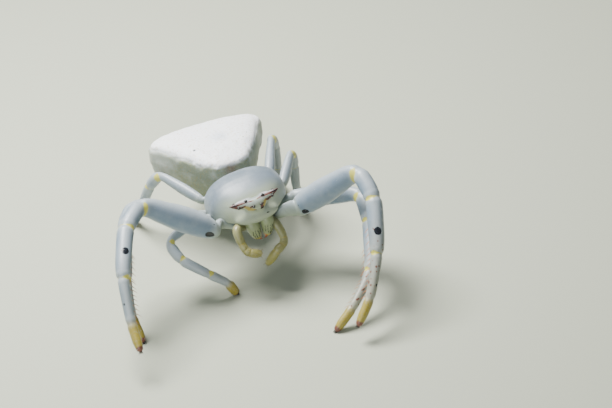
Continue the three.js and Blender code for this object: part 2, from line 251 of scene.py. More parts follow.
@dataclass(frozen=True)
class Cuticle:
    """The living skin: milky and a little see-through, with its markings.

    The mesh says at each point how much of the darker colour it takes ("deep"), which on the
    legs' flanks and the top of the dome is painted shade; how much of the greenish colour
    ("green"), painted shade on the abdomen's flanks and under the roots of the legs; how much
    of the pale colour ("pale"), a painted highlight along the brow's crest; and how
    straw-coloured it is ("straw"), partly painted bounce light on the left front legs. It
    also says how far the point is inside an amber, rust or ink mark in millimetres.
    """

    name: str
    body: Colour
    tone_and_shade: Colour
    # The darker colour; on the legs' flanks and the dome's top it is painted shade.
    green_and_shade: Colour
    # The greenish colour; on the abdomen's flanks and under the legs' roots it is painted shade.
    straw: Colour = (0.62, 0.43, 0.07)
    amber: Colour = (0.66, 0.62, 0.1)
    rust: Colour = (0.2, 0.022, 0.014)
    ink: Colour = (0.003, 0.002, 0.003)
    # The pale colour, a painted highlight along the crest of the brow.
    pale: Colour = (0.86, 0.88, 0.9)
    roughness: float = 0.42
    wet: float = 0.14
    glow: float = 0.35
    spread: float = 0.1
    relief: float = 0.006
    grain_per_mm: float = 26.0
    edge: float = 0.03
    fray: float = 0.05

    def mark(self, maker: Maker, attribute: str, ragged: Signal) -> Signal:
        """How much a mark shows.

        Args:
            maker: The node maker.
            attribute: The mark's depth on the mesh.
            ragged: Noise that frays the mark's edge.

        Returns:
            0 outside the mark and 1 inside.
        """
        depth = maker.reading(attribute)
        return ((depth - (ragged - 0.45) * self.fray) / self.edge).clamped()

    def material(self) -> bpy.types.Material:
        """The skin's material."""
        maker = Maker(self.name)
        fine = maker.grain(self.grain_per_mm, 3.0, 0.6)
        broad = maker.grain(1.3, 3.0, 0.6)
        ragged = maker.grain(9.0, 2.0, 0.6)
        # The darker colour paints shade on the legs' flanks and the dome's top, the greenish one
        # paints shade on the abdomen's flanks and under the legs' roots, and the pale one paints a
        # highlight along the brow's crest.
        tone_and_shade = (maker.reading("tone_and_shade") * (0.35 + 1.3 * broad)).clamped()
        green_and_shade = (maker.reading("green_and_shade") * (0.5 + broad)).clamped()
        straw = (maker.reading("straw") * (0.6 + 0.8 * ragged)).clamped()
        tint = maker.mixed(tone_and_shade, self.body, self.tone_and_shade)
        tint = maker.mixed(green_and_shade, tint, self.green_and_shade)
        tint = maker.mixed(maker.reading("pale").clamped(), tint, self.pale)
        tint = maker.mixed(straw, tint, self.straw)
        tint = maker.mixed(self.mark(maker, "amber", ragged) * 0.85, tint, self.amber)
        tint = maker.mixed(self.mark(maker, "rust", ragged), tint, self.rust)
        ink = self.mark(maker, "ink", ragged)
        tint = maker.mixed(ink, tint, self.ink)
        pores = ((fine - 0.35) * 0.5).clamped()
        shade = maker.mixed(pores, tint, tuple(c * 0.8 for c in self.tone_and_shade))
        inputs = {
            "Base Color": shade,
            "Roughness": self.roughness + 0.16 * (fine - 0.5) - 0.2 * ink,
            "Subsurface Weight": self.glow,
            "Subsurface Radius": (1.0, 0.92, 0.78),
            "Subsurface Scale": self.spread * MM,
            "Coat Weight": self.wet * (1 - ink),
            "Coat Roughness": 0.22,
            "IOR": 1.5,
        }
        return maker.surface(inputs, fine, self.relief)


@dataclass(frozen=True)
class Gloss:
    """A hard glossy or horny piece of one colour with a darker root or tip."""

    name: str
    colour: Colour
    tip: Colour
    roughness: float = 0.2
    coat: float = 0.5

    def material(self) -> bpy.types.Material:
        """The piece's material."""
        maker = Maker(self.name)
        fine = maker.grain(14.0, 2.0)
        share = (maker.reading("tip") + (fine - 0.5) * 0.2).clamped()
        inputs = {
            "Base Color": maker.mixed(share, self.colour, self.tip),
            "Roughness": self.roughness + 0.1 * (fine - 0.5),
            "Coat Weight": self.coat,
            "Coat Roughness": 0.08,
        }
        return maker.surface(inputs, fine, 0.002)


@dataclass(frozen=True)
class Ground:
    """The plain pale floor."""

    colour: Colour = (0.4, 0.42, 0.33)

    def material(self) -> bpy.types.Material:
        """The floor's material."""
        maker = Maker("pale_ground")
        return maker.surface({"Base Color": (*self.colour, 1.0), "Roughness": 0.85})


# The leg skin's darker colour is painted shade on the flanks, its greenish one is painted shade
# under the roots, and its straw is partly painted bounce light.
LEG_SKIN = Cuticle(
    "leg_skin",
    (0.345, 0.39, 0.415),
    (0.15, 0.21, 0.28),
    (0.36, 0.41, 0.24),
    straw=(0.33, 0.25, 0.01),
    amber=(0.6, 0.54, 0.03),
    rust=(0.15, 0.04, 0.015),
)
# The head's darker colour is painted shade on the top of the dome.
HEAD_SKIN = Cuticle(
    "head_skin",
    (0.34, 0.385, 0.405),
    (0.135, 0.17, 0.205),
    (0.36, 0.4, 0.27),
    amber=(0.36, 0.25, 0.012),
    rust=(0.1, 0.016, 0.006),
    ink=(0.004, 0.003, 0.003),
    glow=0.15,
    spread=0.04,
    edge=0.02,
    fray=0.045,
)
JAW_SKIN = Cuticle(
    "jaw_skin",
    (0.31, 0.35, 0.2),
    (0.17, 0.2, 0.11),
    (0.26, 0.3, 0.13),
    amber=(0.42, 0.36, 0.06),
    rust=(0.4, 0.07, 0.012),
)
FEELER_SKIN = Cuticle(
    "feeler_skin",
    (0.27, 0.28, 0.16),
    (0.15, 0.17, 0.11),
    (0.24, 0.21, 0.04),
    amber=(0.4, 0.3, 0.03),
)
# The abdomen's greenish colour is painted shade on the flanks below the back's edge.
ABDOMEN_SKIN = Cuticle(
    "abdomen_skin",
    (0.9, 0.91, 0.92),
    (0.5, 0.58, 0.68),
    (0.22, 0.25, 0.16),
    straw=(0.2, 0.11, 0.06),
    roughness=0.55,
    wet=0.06,
    relief=0.012,
    grain_per_mm=13.0,
)
EYE_GLASS = Gloss("eye_glass", (0.012, 0.007, 0.006), (0.02, 0.01, 0.01), 0.24, 0.3)
CLAW_HORN = Gloss("claw_horn", (0.05, 0.03, 0.025), (0.01, 0.008, 0.01), 0.3)
FANG_HORN = Gloss("fang_horn", (0.42, 0.1, 0.02), (0.06, 0.012, 0.01), 0.22)
SPINE_HORN = Gloss("spine_horn", (0.6, 0.24, 0.09), (0.45, 0.14, 0.06), 0.3, 0.3)
BRISTLE_HORN = Gloss("bristle_horn", (0.012, 0.01, 0.01), (0.03, 0.02, 0.02), 0.35, 0.3)
DOWN_HORN = Gloss("down_horn", (0.5, 0.52, 0.48), (0.42, 0.38, 0.28), 0.5, 0.1)
FEELER_HAIR = Gloss("feeler_hair", (0.3, 0.28, 0.15), (0.18, 0.14, 0.07), 0.5, 0.1)


# Mesh tools


def outline(*stations: Station) -> Callable[[float], float]:
    """A value that runs smoothly through (place, value) pairs.

    Args:
        stations: The pairs, in order of place.

    Returns:
        A function from place to value.
    """
    places, values = zip(*stations)
    rises = [(v - u) / (q - p) for (p, u), (q, v) in zip(stations, stations[1:])]
    bends = [2 * a * b / (a + b) if a * b > 0 else 0.0 for a, b in zip(rises, rises[1:])]
    slopes = [rises[0], *bends, rises[-1]]

    def value(place: float) -> float:
        if not places[0] < place < places[-1]:
            return values[0] if place <= places[0] else values[-1]
        i = bisect_right(places, place) - 1
        span = places[i + 1] - places[i]
        t = (place - places[i]) / span
        line = values[i] + (values[i + 1] - values[i]) * t
        early, late = slopes[i] - rises[i], slopes[i + 1] - rises[i]
        return line + span * t * (1 - t) * (early * (1 - t) - late * t)

    return value


def signed_power(x: float, power: float) -> float:
    """A power that keeps the sign."""
    return math.copysign(abs(x) ** power, x)


def ease(x: float) -> float:
    """0 below 0, 1 above 1 and smooth between them."""
    x = min(max(x, 0.0), 1.0)
    return x * x * (3 - 2 * x)


def bell(x: float, width: float) -> float:
    """1 at 0, falling off to either side."""
    return math.exp(-((x / width) ** 2))


@cache
def material_of(finish: Cuticle | Gloss | Ground) -> bpy.types.Material:
    """The material of a finish, made once."""
    return finish.material()


def linked(name: str, data: bpy.types.ID) -> bpy.types.Object:
    """A new object in the scene."""
    made = bpy.data.objects.new(name, data)
    bpy.context.scene.collection.objects.link(made)
    return made


@dataclass
class Finished:
    """A piece on its way into the scene."""

    name: str
    mesh: Mesh
    finish: Cuticle | Gloss
    slot: str
    nodes: Sequence[str] = ()

    def place(self) -> None:
        """Turns the mesh into an object that rides on the spider."""
        bmesh.ops.recalc_face_normals(self.mesh, faces=self.mesh.faces[:])
        for face in self.mesh.faces:
            face.smooth = True
        bmesh.ops.scale(self.mesh, vec=(MM, MM, MM), verts=self.mesh.verts[:])
        data = bpy.data.meshes.new(self.name)
        self.mesh.to_mesh(data)
        self.mesh.free()
        data.materials.append(material_of(self.finish))
        made = linked(self.name, data)
        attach(made, "root")
        if self.nodes:
            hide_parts(*self.nodes)
        LOG.info("%s: %d faces", self.name, len(data.polygons))


def smooth(mesh: Mesh, verts: list[Vert], times: int) -> None:
    """Draws some points of a mesh towards their neighbours, a number of times."""
    for _ in range(times):
        bmesh.ops.smooth_vert(
            mesh, verts=verts, factor=0.5, use_axis_x=True, use_axis_y=True, use_axis_z=True
        )


def write_fields(mesh: Mesh, fields: dict[str, Reading]) -> None:
    """Stores numbers at each point for the material to read.

    Args:
        mesh: The mesh.
        fields: A function from a vertex to its number, by attribute name.
    """
    for name, value in fields.items():
        layer = mesh.verts.layers.float.get(name) or mesh.verts.layers.float.new(name)
        for vert in mesh.verts:
            vert[layer] = value(vert)


def sleeve(
    sides: int, rings: int, place: Callable[[float, float, float], Vector]
) -> Mesh:
    """A closed tube, made of a capped cylinder whose points are then placed.

    Args:
        sides: Points round the tube.
        rings: Bands along it.
        place: From the share along, the angle round and the share out from the middle.

    Returns:
        The tube, with "along" and "angle" stored at each point.
    """
    mesh = bmesh.new()
    bmesh.ops.create_cone(
        mesh, cap_ends=True, cap_tris=True, segments=sides, radius1=1, radius2=1, depth=2
    )
    uprights = [e for e in mesh.edges if abs(e.verts[0].co.z - e.verts[1].co.z) > 1]
    bmesh.ops.subdivide_edges(mesh, edges=uprights, cuts=rings - 1, use_grid_fill=True)
    along = mesh.verts.layers.float.new("along")
    angle = mesh.verts.layers.float.new("angle")
    for vert in mesh.verts:
        vert[along] = (vert.co.z + 1) / 2
        vert[angle] = math.atan2(vert.co.y, vert.co.x)
        out = math.hypot(vert.co.x, vert.co.y)
        vert.co = place(vert[along], vert[angle], out)
    return mesh


@dataclass
class Mound:
    """A rounded body along Y whose half width, back and belly follow outlines."""

    front: float
    rear: float
    width: Callable[[float], float]
    rim: Callable[[float], float]
    top: Callable[[float], float]
    bottom: Callable[[float], float]
    blunt: float
    square: float

    def mesh(self, around: int, along: int) -> Mesh:
        """The body as a mesh.

        Args:
            around: Points round it.
            along: Bands from end to end.

        Returns:
            The mesh.
        """
        mesh = bmesh.new()
        bmesh.ops.create_uvsphere(mesh, u_segments=around, v_segments=along, radius=1)
        middle, half = (self.front + self.rear) / 2, (self.rear - self.front) / 2
        for vert in mesh.verts:
            x, z, y = vert.co
            ring = math.hypot(x, z)
            place = middle + half * signed_power(y, self.blunt)
            if ring < TINY:
                vert.co = (0, place, self.rim(place))
                continue
            spread = ring**self.blunt
            across = signed_power(x / ring, self.square)
            lift = signed_power(z / ring, self.square)
            reach = self.top(place) if lift > 0 else self.bottom(place)
            vert.co = (
                across * spread * self.width(place),
                place,
                self.rim(place) + lift * spread * reach,
            )
        return mesh


def fused(meshes: Sequence[Mesh], cell: float, smoothing: int) -> Mesh:
    """Joins closed meshes into one skin.

    Args:
        meshes: The meshes, which overlap.
        cell: The size of the new faces in millimetres.
        smoothing: How many times the result is smoothed.

    Returns:
        One closed mesh.
    """
    data = bpy.data.meshes.new("fusing")
    whole = bmesh.new()
    for mesh in meshes:
        bmesh.ops.recalc_face_normals(mesh, faces=mesh.faces[:])
        mesh.to_mesh(data)
        mesh.free()
        whole.from_mesh(data)
    whole.to_mesh(data)
    whole.free()
    holder = linked("fusing", data)
    remesh = holder.modifiers.new("fuse", "REMESH")
    remesh.mode = "VOXEL"
    remesh.voxel_size = cell
    graph = bpy.context.evaluated_depsgraph_get()
    result = bpy.data.meshes.new_from_object(holder.evaluated_get(graph))
    bpy.data.objects.remove(holder)
    mesh = bmesh.new()
    mesh.from_mesh(result)
    bpy.data.meshes.remove(result)
    bpy.data.meshes.remove(data)
    smooth(mesh, mesh.verts[:], smoothing)
    return mesh


def hermite(points: Sequence[Vector], places: Sequence[float], share: float) -> Vector:
    """A smooth curve through the middle two of four points.

    Args:
        points: The four points.
        places: How far along the curve each lies.
        share: The share of the way between the middle two.

    Returns:
        The point on the curve.
    """
    before, one, two, after = points
    span = places[2] - places[1]
    slope_one = (two - before) / max(places[2] - places[0], TINY) * span
    slope_two = (after - one) / max(places[3] - places[1], TINY) * span
    square = share * share
    cube = square * share
    return (
        one * (2 * cube - 3 * square + 1)
        + slope_one * (cube - 2 * square + share)
        + two * (3 * square - 2 * cube)
        + slope_two * (cube - square)
    )


@dataclass
class Spikes:
    """Many tapered, slightly bent hairs, spines or claws of one kind."""

    sides: int = 5
    cuts: int = 2
    point: float = 0.12
    mesh: Mesh = field(default_factory=bmesh.new)

    def __post_init__(self) -> None:
        """Makes the straight pattern that every spike copies."""
        self.mesh.verts.layers.float.new("tip")
        self.patch = self.mesh.loops.layers.uv.new(BAKE_MAP)
        pattern = bmesh.new()
        tip = pattern.verts.layers.float.new("tip")
        patch = pattern.loops.layers.uv.new(BAKE_MAP)
        bmesh.ops.create_cone(
            pattern,
            cap_ends=True,
            cap_tris=True,
            segments=self.sides,
            radius1=1,
            radius2=self.point,
            depth=1,
        )
        tall = [e for e in pattern.edges if abs(e.verts[0].co.z - e.verts[1].co.z) > 0.5]
        bmesh.ops.subdivide_edges(pattern, edges=tall, cuts=self.cuts)
        for vert in pattern.verts:
            vert[tip] = vert.co.z + 0.5
        for face in pattern.faces:
            for loop in face.loops:
                loop[patch].uv = (loop.vert.co.x / 2, loop.vert.co.z)
        self.size = len(pattern.verts)
        self.faces = len(pattern.faces)
        self.pattern = bpy.data.meshes.new("spike")
        pattern.to_mesh(self.pattern)
        pattern.free()

    def add(
        self,
        root: Vector,
        aim: Vector,
        length: float,
        radius: float,
        unwrapped: tuple[float, float],
        sag: Vector = Vector(),
    ) -> None:
        """Adds one spike.

        Args:
            root: Where it stands.
            aim: Which way it points.
            length: Its length.
            radius: Its radius at the root.
            unwrapped: Where its root lies on the unrolled skin, from 0 to 1 each way.
            sag: How far its tip bends aside.
        """
        self.mesh.from_mesh(self.pattern)
        self.mesh.verts.ensure_lookup_table()
        self.mesh.faces.ensure_lookup_table()
        for face in self.mesh.faces[-self.faces:]:
            for loop in face.loops:
                loop[self.patch].uv = Vector(unwrapped) + loop[self.patch].uv * PATCH
        turn = aim.to_track_quat("Z", "Y").to_matrix()
        for vert in self.mesh.verts[-self.size:]:
            share = vert.co.z + 0.5
            local = Vector((vert.co.x * radius, vert.co.y * radius, share * length))
            vert.co = root + turn @ local + sag * share * share


# Legs


@dataclass
class Section:
    """One ring of a leg: its centre, its axes and its half sizes."""

    centre: Vector
    tangent: Vector
    dorsal: Vector
    front: Vector
    height: float
    width: float
    segment: float


class Segment(Enum):
    """The segments of a leg from the body outwards."""

    COXA = 0
    FEMUR = 1
    PATELLA = 2
    TIBIA = 3
    METATARSUS = 4
    TARSUS = 5


LEG_NODES = ("coxa", "femur", "patella", "tibia", "foot")
FOOT = 4
METATARSUS_SHARE = (0.61, 0.6, 0.56, 0.58)
# The longest way along a leg at which a mark is still looked for.
MARK_REACH = 0.6


def rings_of(node: str) -> list[list[Vector]]:
    """The rings of a tube-shaped solid, read from its mesh.

    Args:
        node: The node's name.

    Returns:
        The rings in order from one end, each a list of points in millimetres.
    """
    mesh = bmesh.new()
    mesh.from_mesh(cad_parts[node].data)
    bmesh.ops.remove_doubles(mesh, verts=mesh.verts[:], dist=MERGE_M)
    hubs = sorted((v for v in mesh.verts if len(v.link_edges) >= 9), key=lambda v: v.co.length)
    level, seen, rings = {hubs[0]}, {hubs[0]}, []
    while level:
        level = {e.other_vert(v) for v in level for e in v.link_edges} - seen
        seen |= level
        if level:
            rings.append([v.co / MM for v in level])
    mesh.free()
    size = len(rings[0])
    return [ring for ring in rings if len(ring) == size]


@dataclass
class Mark:
    """A round mark on a leg: where it is and how large."""

    segment: Segment
    share: float
    angle: float
    radius: float
    stretch: float = 1.0


@dataclass
class Leg:
    """One leg, skinned in one piece over its solids."""

    name: str
    side: int
    pair: int
    marks: list[Mark] = field(default_factory=list)
    red_marks: list[Mark] = field(default_factory=list)
    # How much buff shows from the tibia on; the stronger buff of the left front legs is painted
    # bounce light.
    buff_and_bounce: float = 0.1
    sides: int = 40
    step: float = 0.045
    pinch: float = 0.08
    root_reach: float = 0.55
    tip: float = 0.14
    sections: list[Section] = field(default_factory=list)
    joints: list[float] = field(default_factory=list)
    lengths: list[float] = field(default_factory=list)

    def read(self) -> None:
        """Reads the leg's centre line and thickness from its solids."""
        previous = None
        rows = []
        for number, label in enumerate(LEG_NODES):
            rings = rings_of(f"{self.name}_{label}")
            centres = [sum(ring, Vector()) / len(ring) for ring in rings]
            if previous is None:
                backwards = abs(centres[0].x - BODY.x) > abs(centres[-1].x - BODY.x)
            else:
                backwards = (centres[0] - previous).length > (centres[-1] - previous).length
            if backwards:
                rings.reverse()
                centres.reverse()
            previous = centres[-1]
            for i, (ring, centre) in enumerate(zip(rings, centres)):
                rows.append((ring, centre, self._segment_at(number, i, len(rings))))
        self._follow(rows)

    def _segment_at(self, number: int, ring: int, count: int) -> float:
        """Where a ring lies, in segments from the root.

        Args:
            number: The node's place in the leg.
            ring: The ring's place in the node.
            count: How many rings the node shows.

        Returns:
            A whole number for each segment passed, plus the share of the next.
        """
        if number == Segment.COXA.value:
            return 1 - (count - 1 - ring) / 6
        share = ring / (count - 1)
        if number < FOOT:
            return number + share
        ankle = METATARSUS_SHARE[self.pair]
        if share < ankle:
            return FOOT + share / ankle
        return FOOT + 1 + (share - ankle) / (1 - ankle)

    def _follow(self, rows: list[tuple[list[Vector], Vector, float]]) -> None:
        """Measures each ring along and across a frame carried down the leg.

        Args:
            rows: The points, the centre and the segment place of each ring.
        """
        dorsal = Vector((0, 0, 1))
        for i, (ring, centre, place) in enumerate(rows):
            before, after = rows[max(i - 1, 0)][1], rows[min(i + 1, len(rows) - 1)][1]
            tangent = (after - before).normalized()
            dorsal = (dorsal - tangent * dorsal.dot(tangent)).normalized()
            front = tangent.cross(dorsal) * self.side
            height, width = (
                math.sqrt(2 * sum((p - centre).dot(axis) ** 2 for p in ring) / len(ring))
                for axis in (dorsal, front)
            )
            self.sections.append(Section(centre, tangent, dorsal, front, height, width, place))
        first = self.sections[0]
        back = first.centre - first.tangent * self.root_reach
        self.sections.insert(0, replace(first, centre=back, segment=first.segment - 0.4))
        self.lengths = [0.0]
        for one, two in zip(self.sections, self.sections[1:]):
            self.lengths.append(self.lengths[-1] + (two.centre - one.centre).length)
        places = [section.segment for section in self.sections]
        self.joints = [float(np.interp(joint, places, self.lengths)) for joint in range(1, 6)]

    def at(self, along: float) -> Section:
        """The leg's section at a distance from its root, smoothed between rings.

        Args:
            along: The distance in millimetres.

        Returns:
            The section there.
        """
        i = int(np.searchsorted(self.lengths, along, side="right")) - 1
        i = min(max(i, 0), len(self.sections) - 2)
        span = self.lengths[i + 1] - self.lengths[i]
        t = min(max((along - self.lengths[i]) / span, 0.0), 1.0)
        near = [min(max(k, 0), len(self.sections) - 1) for k in range(i - 1, i + 3)]
        one, two = self.sections[i], self.sections[i + 1]
        centres = [self.sections[k].centre for k in near]
        centre = hermite(centres, [self.lengths[k] for k in near], t)
        tangent = one.tangent.lerp(two.tangent, t).normalized()
        dorsal = one.dorsal.lerp(two.dorsal, t)
        dorsal = (dorsal - tangent * dorsal.dot(tangent)).normalized()
        front = tangent.cross(dorsal) * self.side
        height = one.height + (two.height - one.height) * t
        width = one.width + (two.width - one.width) * t
        segment = one.segment + (two.segment - one.segment) * t
        return Section(centre, tangent, dorsal, front, height, width, segment)

    def total(self) -> float:
        """The leg's length from root to tip."""
        return self.lengths[-1]

    def swell(self, along: float) -> float:
        """How the skin's thickness differs from the solid's: pinched at each joint.

        Args:
            along: The distance from the root.

        Returns:
            A factor.
        """
        factor = 1.0
        for i, joint in enumerate(self.joints):
            depth = self.pinch if i != 1 else self.pinch * 0.5
            factor -= depth * bell(along - joint, 0.1)
            factor += 0.03 * bell(abs(along - joint) - 0.22, 0.1)
        return factor

    def point(self, along: float, angle: float, out: float = 1.0) -> Vector:
        """A point on the skin.

        Args:
            along: The distance from the root.
            angle: Round the leg: 0 on top, 90 degrees in front, in radians.
            out: 1 on the skin and 0 on the centre line.

        Returns:
            The point in millimetres.
        """
        section = self.at(along)
        grow = self.swell(along) * out
        left = self.total() - along
        if left < self.tip:
            round_off = math.sqrt(max(1 - ((self.tip - left) / self.tip) ** 2, 0.0))
            grow *= round_off * 0.97 + 0.03
        return (
            section.centre
            + section.dorsal * (math.cos(angle) * section.height * grow)
            + section.front * (math.sin(angle) * section.width * grow)
        )

    def unwrapped(self, along: float, angle: float) -> tuple[float, float]:
        """Where a point of the skin lies once the leg is unrolled."""
        return (angle / math.tau) % 1, along / self.total()

    def segment_span(self, segment: Segment) -> tuple[float, float]:
        """Where a segment begins and ends along the leg."""
        stops = [0.0, *self.joints, self.total()]
        return stops[segment.value], stops[segment.value + 1]

    def skin(self) -> Mesh:
        """The leg's skin."""
        rings = int(self.total() / self.step)
        mesh = sleeve(
            self.sides,
            rings,
            lambda t, angle, out: self.point(t * self.total(), angle, out),
        )
        along = mesh.verts.layers.float["along"]
        angle = mesh.verts.layers.float["angle"]

        def reading(value: Callable[[float, float], float]) -> Reading:
            return lambda vert: value(vert[along] * self.total(), vert[angle])

        # On the legs the grey of the flanks is painted shade, and so is the greenish tint under the
        # roots.
        fields = {
            "tone_and_shade": self._flank_shade,
            "green_and_shade": self._green_and_shade,
            "ink": self._ink,
            "amber": self._amber,
            "rust": self._rust,
            "straw": self._straw,
        }
        write_fields(mesh, {name: reading(value) for name, value in fields.items()})
        return mesh

    def _flank_shade(self, along: float, angle: float) -> float:
        """Painted shade: how grey the skin is, most on the two flanks of each long segment."""
        nearest = min(abs(along - j) for j in self.joints)
        flank = abs(math.sin(angle)) ** 1.6
        start, _ = self.segment_span(Segment.FEMUR)
        if along < start:
            return 0.2 * flank
        return (0.95 if self.pair < 2 else 0.5) * flank * ease((nearest - 0.1) / 0.45)

    def _green_and_shade(self, along: float, angle: float) -> float:
        """Greenish at the leg's base, strongest underneath as painted shade."""
        start, _ = self.segment_span(Segment.FEMUR)
        return 0.7 * ease(1 - (along - start) / 0.6) * (0.6 - 0.4 * math.cos(angle))

    def _straw(self, along: float, angle: float) -> float:
        """Buff from the tibia on, partly painted bounce light, and yellow over most of the tarsus.
        """
        shin, _ = self.segment_span(Segment.TIBIA)
        ankle, toe = self.segment_span(Segment.TARSUS)
        buff_and_bounce = self.buff_and_bounce * ease((along - shin) / (ankle - shin))
        share = (along - ankle) / (toe - ankle)
        return max(buff_and_bounce, 0.95 * ease((share + 0.25) / 0.5))

    def _amber(self, along: float, angle: float) -> float:
        """Depth inside the yellow: a wedge on each knee and a ring at the next two joints."""
        knee, shin, ankle = self.joints[1:4]
        turn = math.degrees(angle)
        wedge = 0.19 * ease((turn + 10) / 70) - abs(along - knee + 0.1)
        depth = wedge if -10 < turn < 140 else -FAR
        for joint in (shin, ankle):
            depth = max(depth, 0.03 + 0.11 * bell(turn - 45, 40) - abs(along - joint))
        return depth

    def _rust(self, along: float, angle: float) -> float:
        """Depth inside the red spots and the brown end of the tarsus."""
        ankle, toe = self.segment_span(Segment.TARSUS)
        end = 0.5 * ((along - ankle) / (toe - ankle) - 0.8)
        return max(end, self._spot(self.red_marks, along, angle))

    def _ink(self, along: float, angle: float) -> float:
        """Depth inside the black spots."""
        return self._spot(self.marks, along, angle)

    def _spot(self, marks: list[Mark], along: float, angle: float) -> float:
        """Depth inside the nearest of some round marks."""
        depth = -FAR
        for mark in marks:
            start, end = self.segment_span(mark.segment)
            centre = start + (end - start) * mark.share
            if abs(along - centre) > MARK_REACH:
                continue
            radius = self.at(centre).height
            turn = (angle - math.radians(mark.angle) + math.pi) % math.tau - math.pi
            away = math.hypot((along - centre) / mark.stretch, turn * radius)
            depth = max(depth, mark.radius - away)
        return depth

    def scatter_red(self) -> None:
        """Strews small red spots over the far half of the tibia and the metatarsus."""
        draw = random.Random(self.name + "red")
        for segment, low, count in ((Segment.TIBIA, 0.55, 9), (Segment.METATARSUS, 0.05, 24)):
            for _ in range(count):
                place, turn = draw.uniform(low, 1), draw.uniform(-120, 110)
                self.red_marks.append(Mark(segment, place, turn, draw.uniform(0.05, 0.08)))

    def claws(self) -> Mesh:
        """The pair of claws at the tip, in their dark tuft."""
        spikes = Spikes(6)
        end = self.at(self.total())
        for turn in (-1, 1):
            aim = (end.tangent * 0.8 - end.dorsal * 0.35 + end.front * 0.3 * turn).normalized()
            root = end.centre - end.tangent * 0.06 + end.front * 0.05 * turn
            spikes.add(root, aim, 0.2, 0.035, (0.5 + 0.1 * turn, 0.99), end.dorsal * -0.08)
        draw = random.Random(self.name + "claw")
        for _ in range(16):
            spread = Vector((draw.uniform(-1, 1), draw.uniform(-1, 1), draw.uniform(-1, 1)))
            aim = (end.tangent + spread * 0.55).normalized()
            place = (0.5 + 0.4 * spread.x, 0.98 + 0.015 * spread.y)
            spikes.add(end.centre - end.tangent * 0.05, aim, 0.17, 0.014, place)
        self._keep_up(spikes.mesh)
        return spikes.mesh

    @staticmethod
    def _keep_up(mesh: Mesh) -> None:
        """Keeps every point on or above the ground."""
        for vert in mesh.verts:
            vert.co.z = max(vert.co.z, 0.0)

    def spines(self) -> Mesh:
        """The rows of stout spines under the tibia and metatarsus of a hunting leg."""
        spikes = Spikes(6)
        draw = random.Random(self.name + "spine")
        rows = ((Segment.TIBIA, 0.5, 0.97, 5), (Segment.METATARSUS, 0.06, 0.95, 8))
        for segment, low, high, count in rows:
            start, end = self.segment_span(segment)
            for k in range(count):
                share = low + (high - low) * k / (count - 1)
                for angle in (118, 196):
                    along = start + (end - start) * (share + draw.uniform(-0.015, 0.015))
                    turn = math.radians(angle + draw.uniform(-6, 6))
                    root = self.point(along, turn, 0.95)
                    out = (self.point(along, turn) - self.at(along).centre).normalized()
                    aim = (out * 0.75 + self.at(along).tangent * 0.65).normalized()
                    length = draw.uniform(0.26, 0.36)
                    bend = self.at(along).tangent * 0.05
                    spikes.add(root, aim, length, 0.026, self.unwrapped(along, turn), bend)
        return spikes.mesh

    def down(self) -> Mesh:
        """The sparse short hairs over the leg."""
        spikes = Spikes(3)
        draw = random.Random(self.name + "down")
        start, _ = self.segment_span(Segment.FEMUR)
        for _ in range(150 if self.pair < 2 else 90):
            along = draw.uniform(start, self.total() - 0.1)
            angle = draw.uniform(-math.pi, math.pi)
            root = self.point(along, angle, 0.97)
            section = self.at(along)
            out = (root - section.centre).normalized()
            aim = (out * 0.6 + section.tangent).normalized()
            length = draw.uniform(0.09, 0.17)
            spikes.add(root, aim, length, 0.007, self.unwrapped(along, angle), out * 0.02)
        self._keep_up(spikes.mesh)
        return spikes.mesh

    def build(self) -> None:
        """Makes every piece of the leg."""
        self.read()
        nodes = [f"{self.name}_{label}" for label in LEG_NODES]
        mesh = self.skin()
        self._keep_up(mesh)
        Finished(f"{self.name}_skin", mesh, LEG_SKIN, "leg_skin", nodes).place()
        Finished(f"{self.name}_claws", self.claws(), CLAW_HORN, "eye").place()
        Finished(f"{self.name}_hairs", self.down(), DOWN_HORN, "leg_skin").place()
        if self.pair < 2:
            Finished(f"{self.name}_spines", self.spines(), SPINE_HORN, "leg_skin").place()


# The body


def middle(node: str) -> Vector:
    """The spot on the ground under the middle of a node, in millimetres."""
    low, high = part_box(node)
    return Vector(((low.x + high.x) / 2, (low.y + high.y) / 2, 0)) / MM


BODY = middle("sternum")
EYE_ROWS = ("front_inner", "front_outer", "back_inner", "back_outer")

# The mask between the horns, in millimetres across and above the middle of the brow.
Stroke = tuple[tuple[float, float, float], ...]
MASK_TOP = 0.35
MASK_RIM = 0.41
MASK_LOW = outline(
    (0, -0.47), (0.3, -0.42), (0.45, -0.28), (0.62, -0.11), (0.92, 0.02), (1.1, 0.14), (1.36, 0.34)
)
# How far a point seen on the mask rises and moves aside for each millimetre it lies behind,
# how far back the mask is drawn, and how far back on the ridge.
MASK_SLOPE = 0.77
MASK_DRIFT = 0.25
MASK_REACH = 0.6
RIDGE_REACH = 0.3
# Each stroke is a line of (across, height, half width).
INK_STROKES: tuple[Stroke, ...] = (
    ((-1.25, 0.28, 0.04), (-1.05, 0.28, 0.06), (-0.88, 0.28, 0.035)),
    ((-0.57, 0.27, 0.06), (-0.43, 0.28, 0.07)),
    ((-1.0, 0.1, 0.03), (-0.92, 0.03, 0.07), (-0.79, -0.01, 0.06), (-0.68, 0.0, 0.035)),
    ((-0.26, -0.17, 0.035), (-0.19, -0.17, 0.035)),
    ((-0.15, -0.41, 0.03), (-0.05, -0.44, 0.04)),
    ((0.38, 0.28, 0.065), (0.52, 0.29, 0.06)),
    ((0.84, 0.28, 0.035), (1.05, 0.28, 0.06), (1.3, 0.31, 0.04)),
    ((0.94, 0.12, 0.06), (0.94, 0.0, 0.06)),
    ((0.76, -0.02, 0.035), (0.68, -0.05, 0.04)),
    ((0.23, -0.46, 0.055), (0.35, -0.42, 0.055)),
    ((0.49, -0.84, 0.05), (0.57, -0.86, 0.05)),
    ((0.6, -0.57, 0.025), (0.61, -0.58, 0.025)),
    ((0.07, -0.85, 0.022), (0.08, -0.85, 0.022)),
)
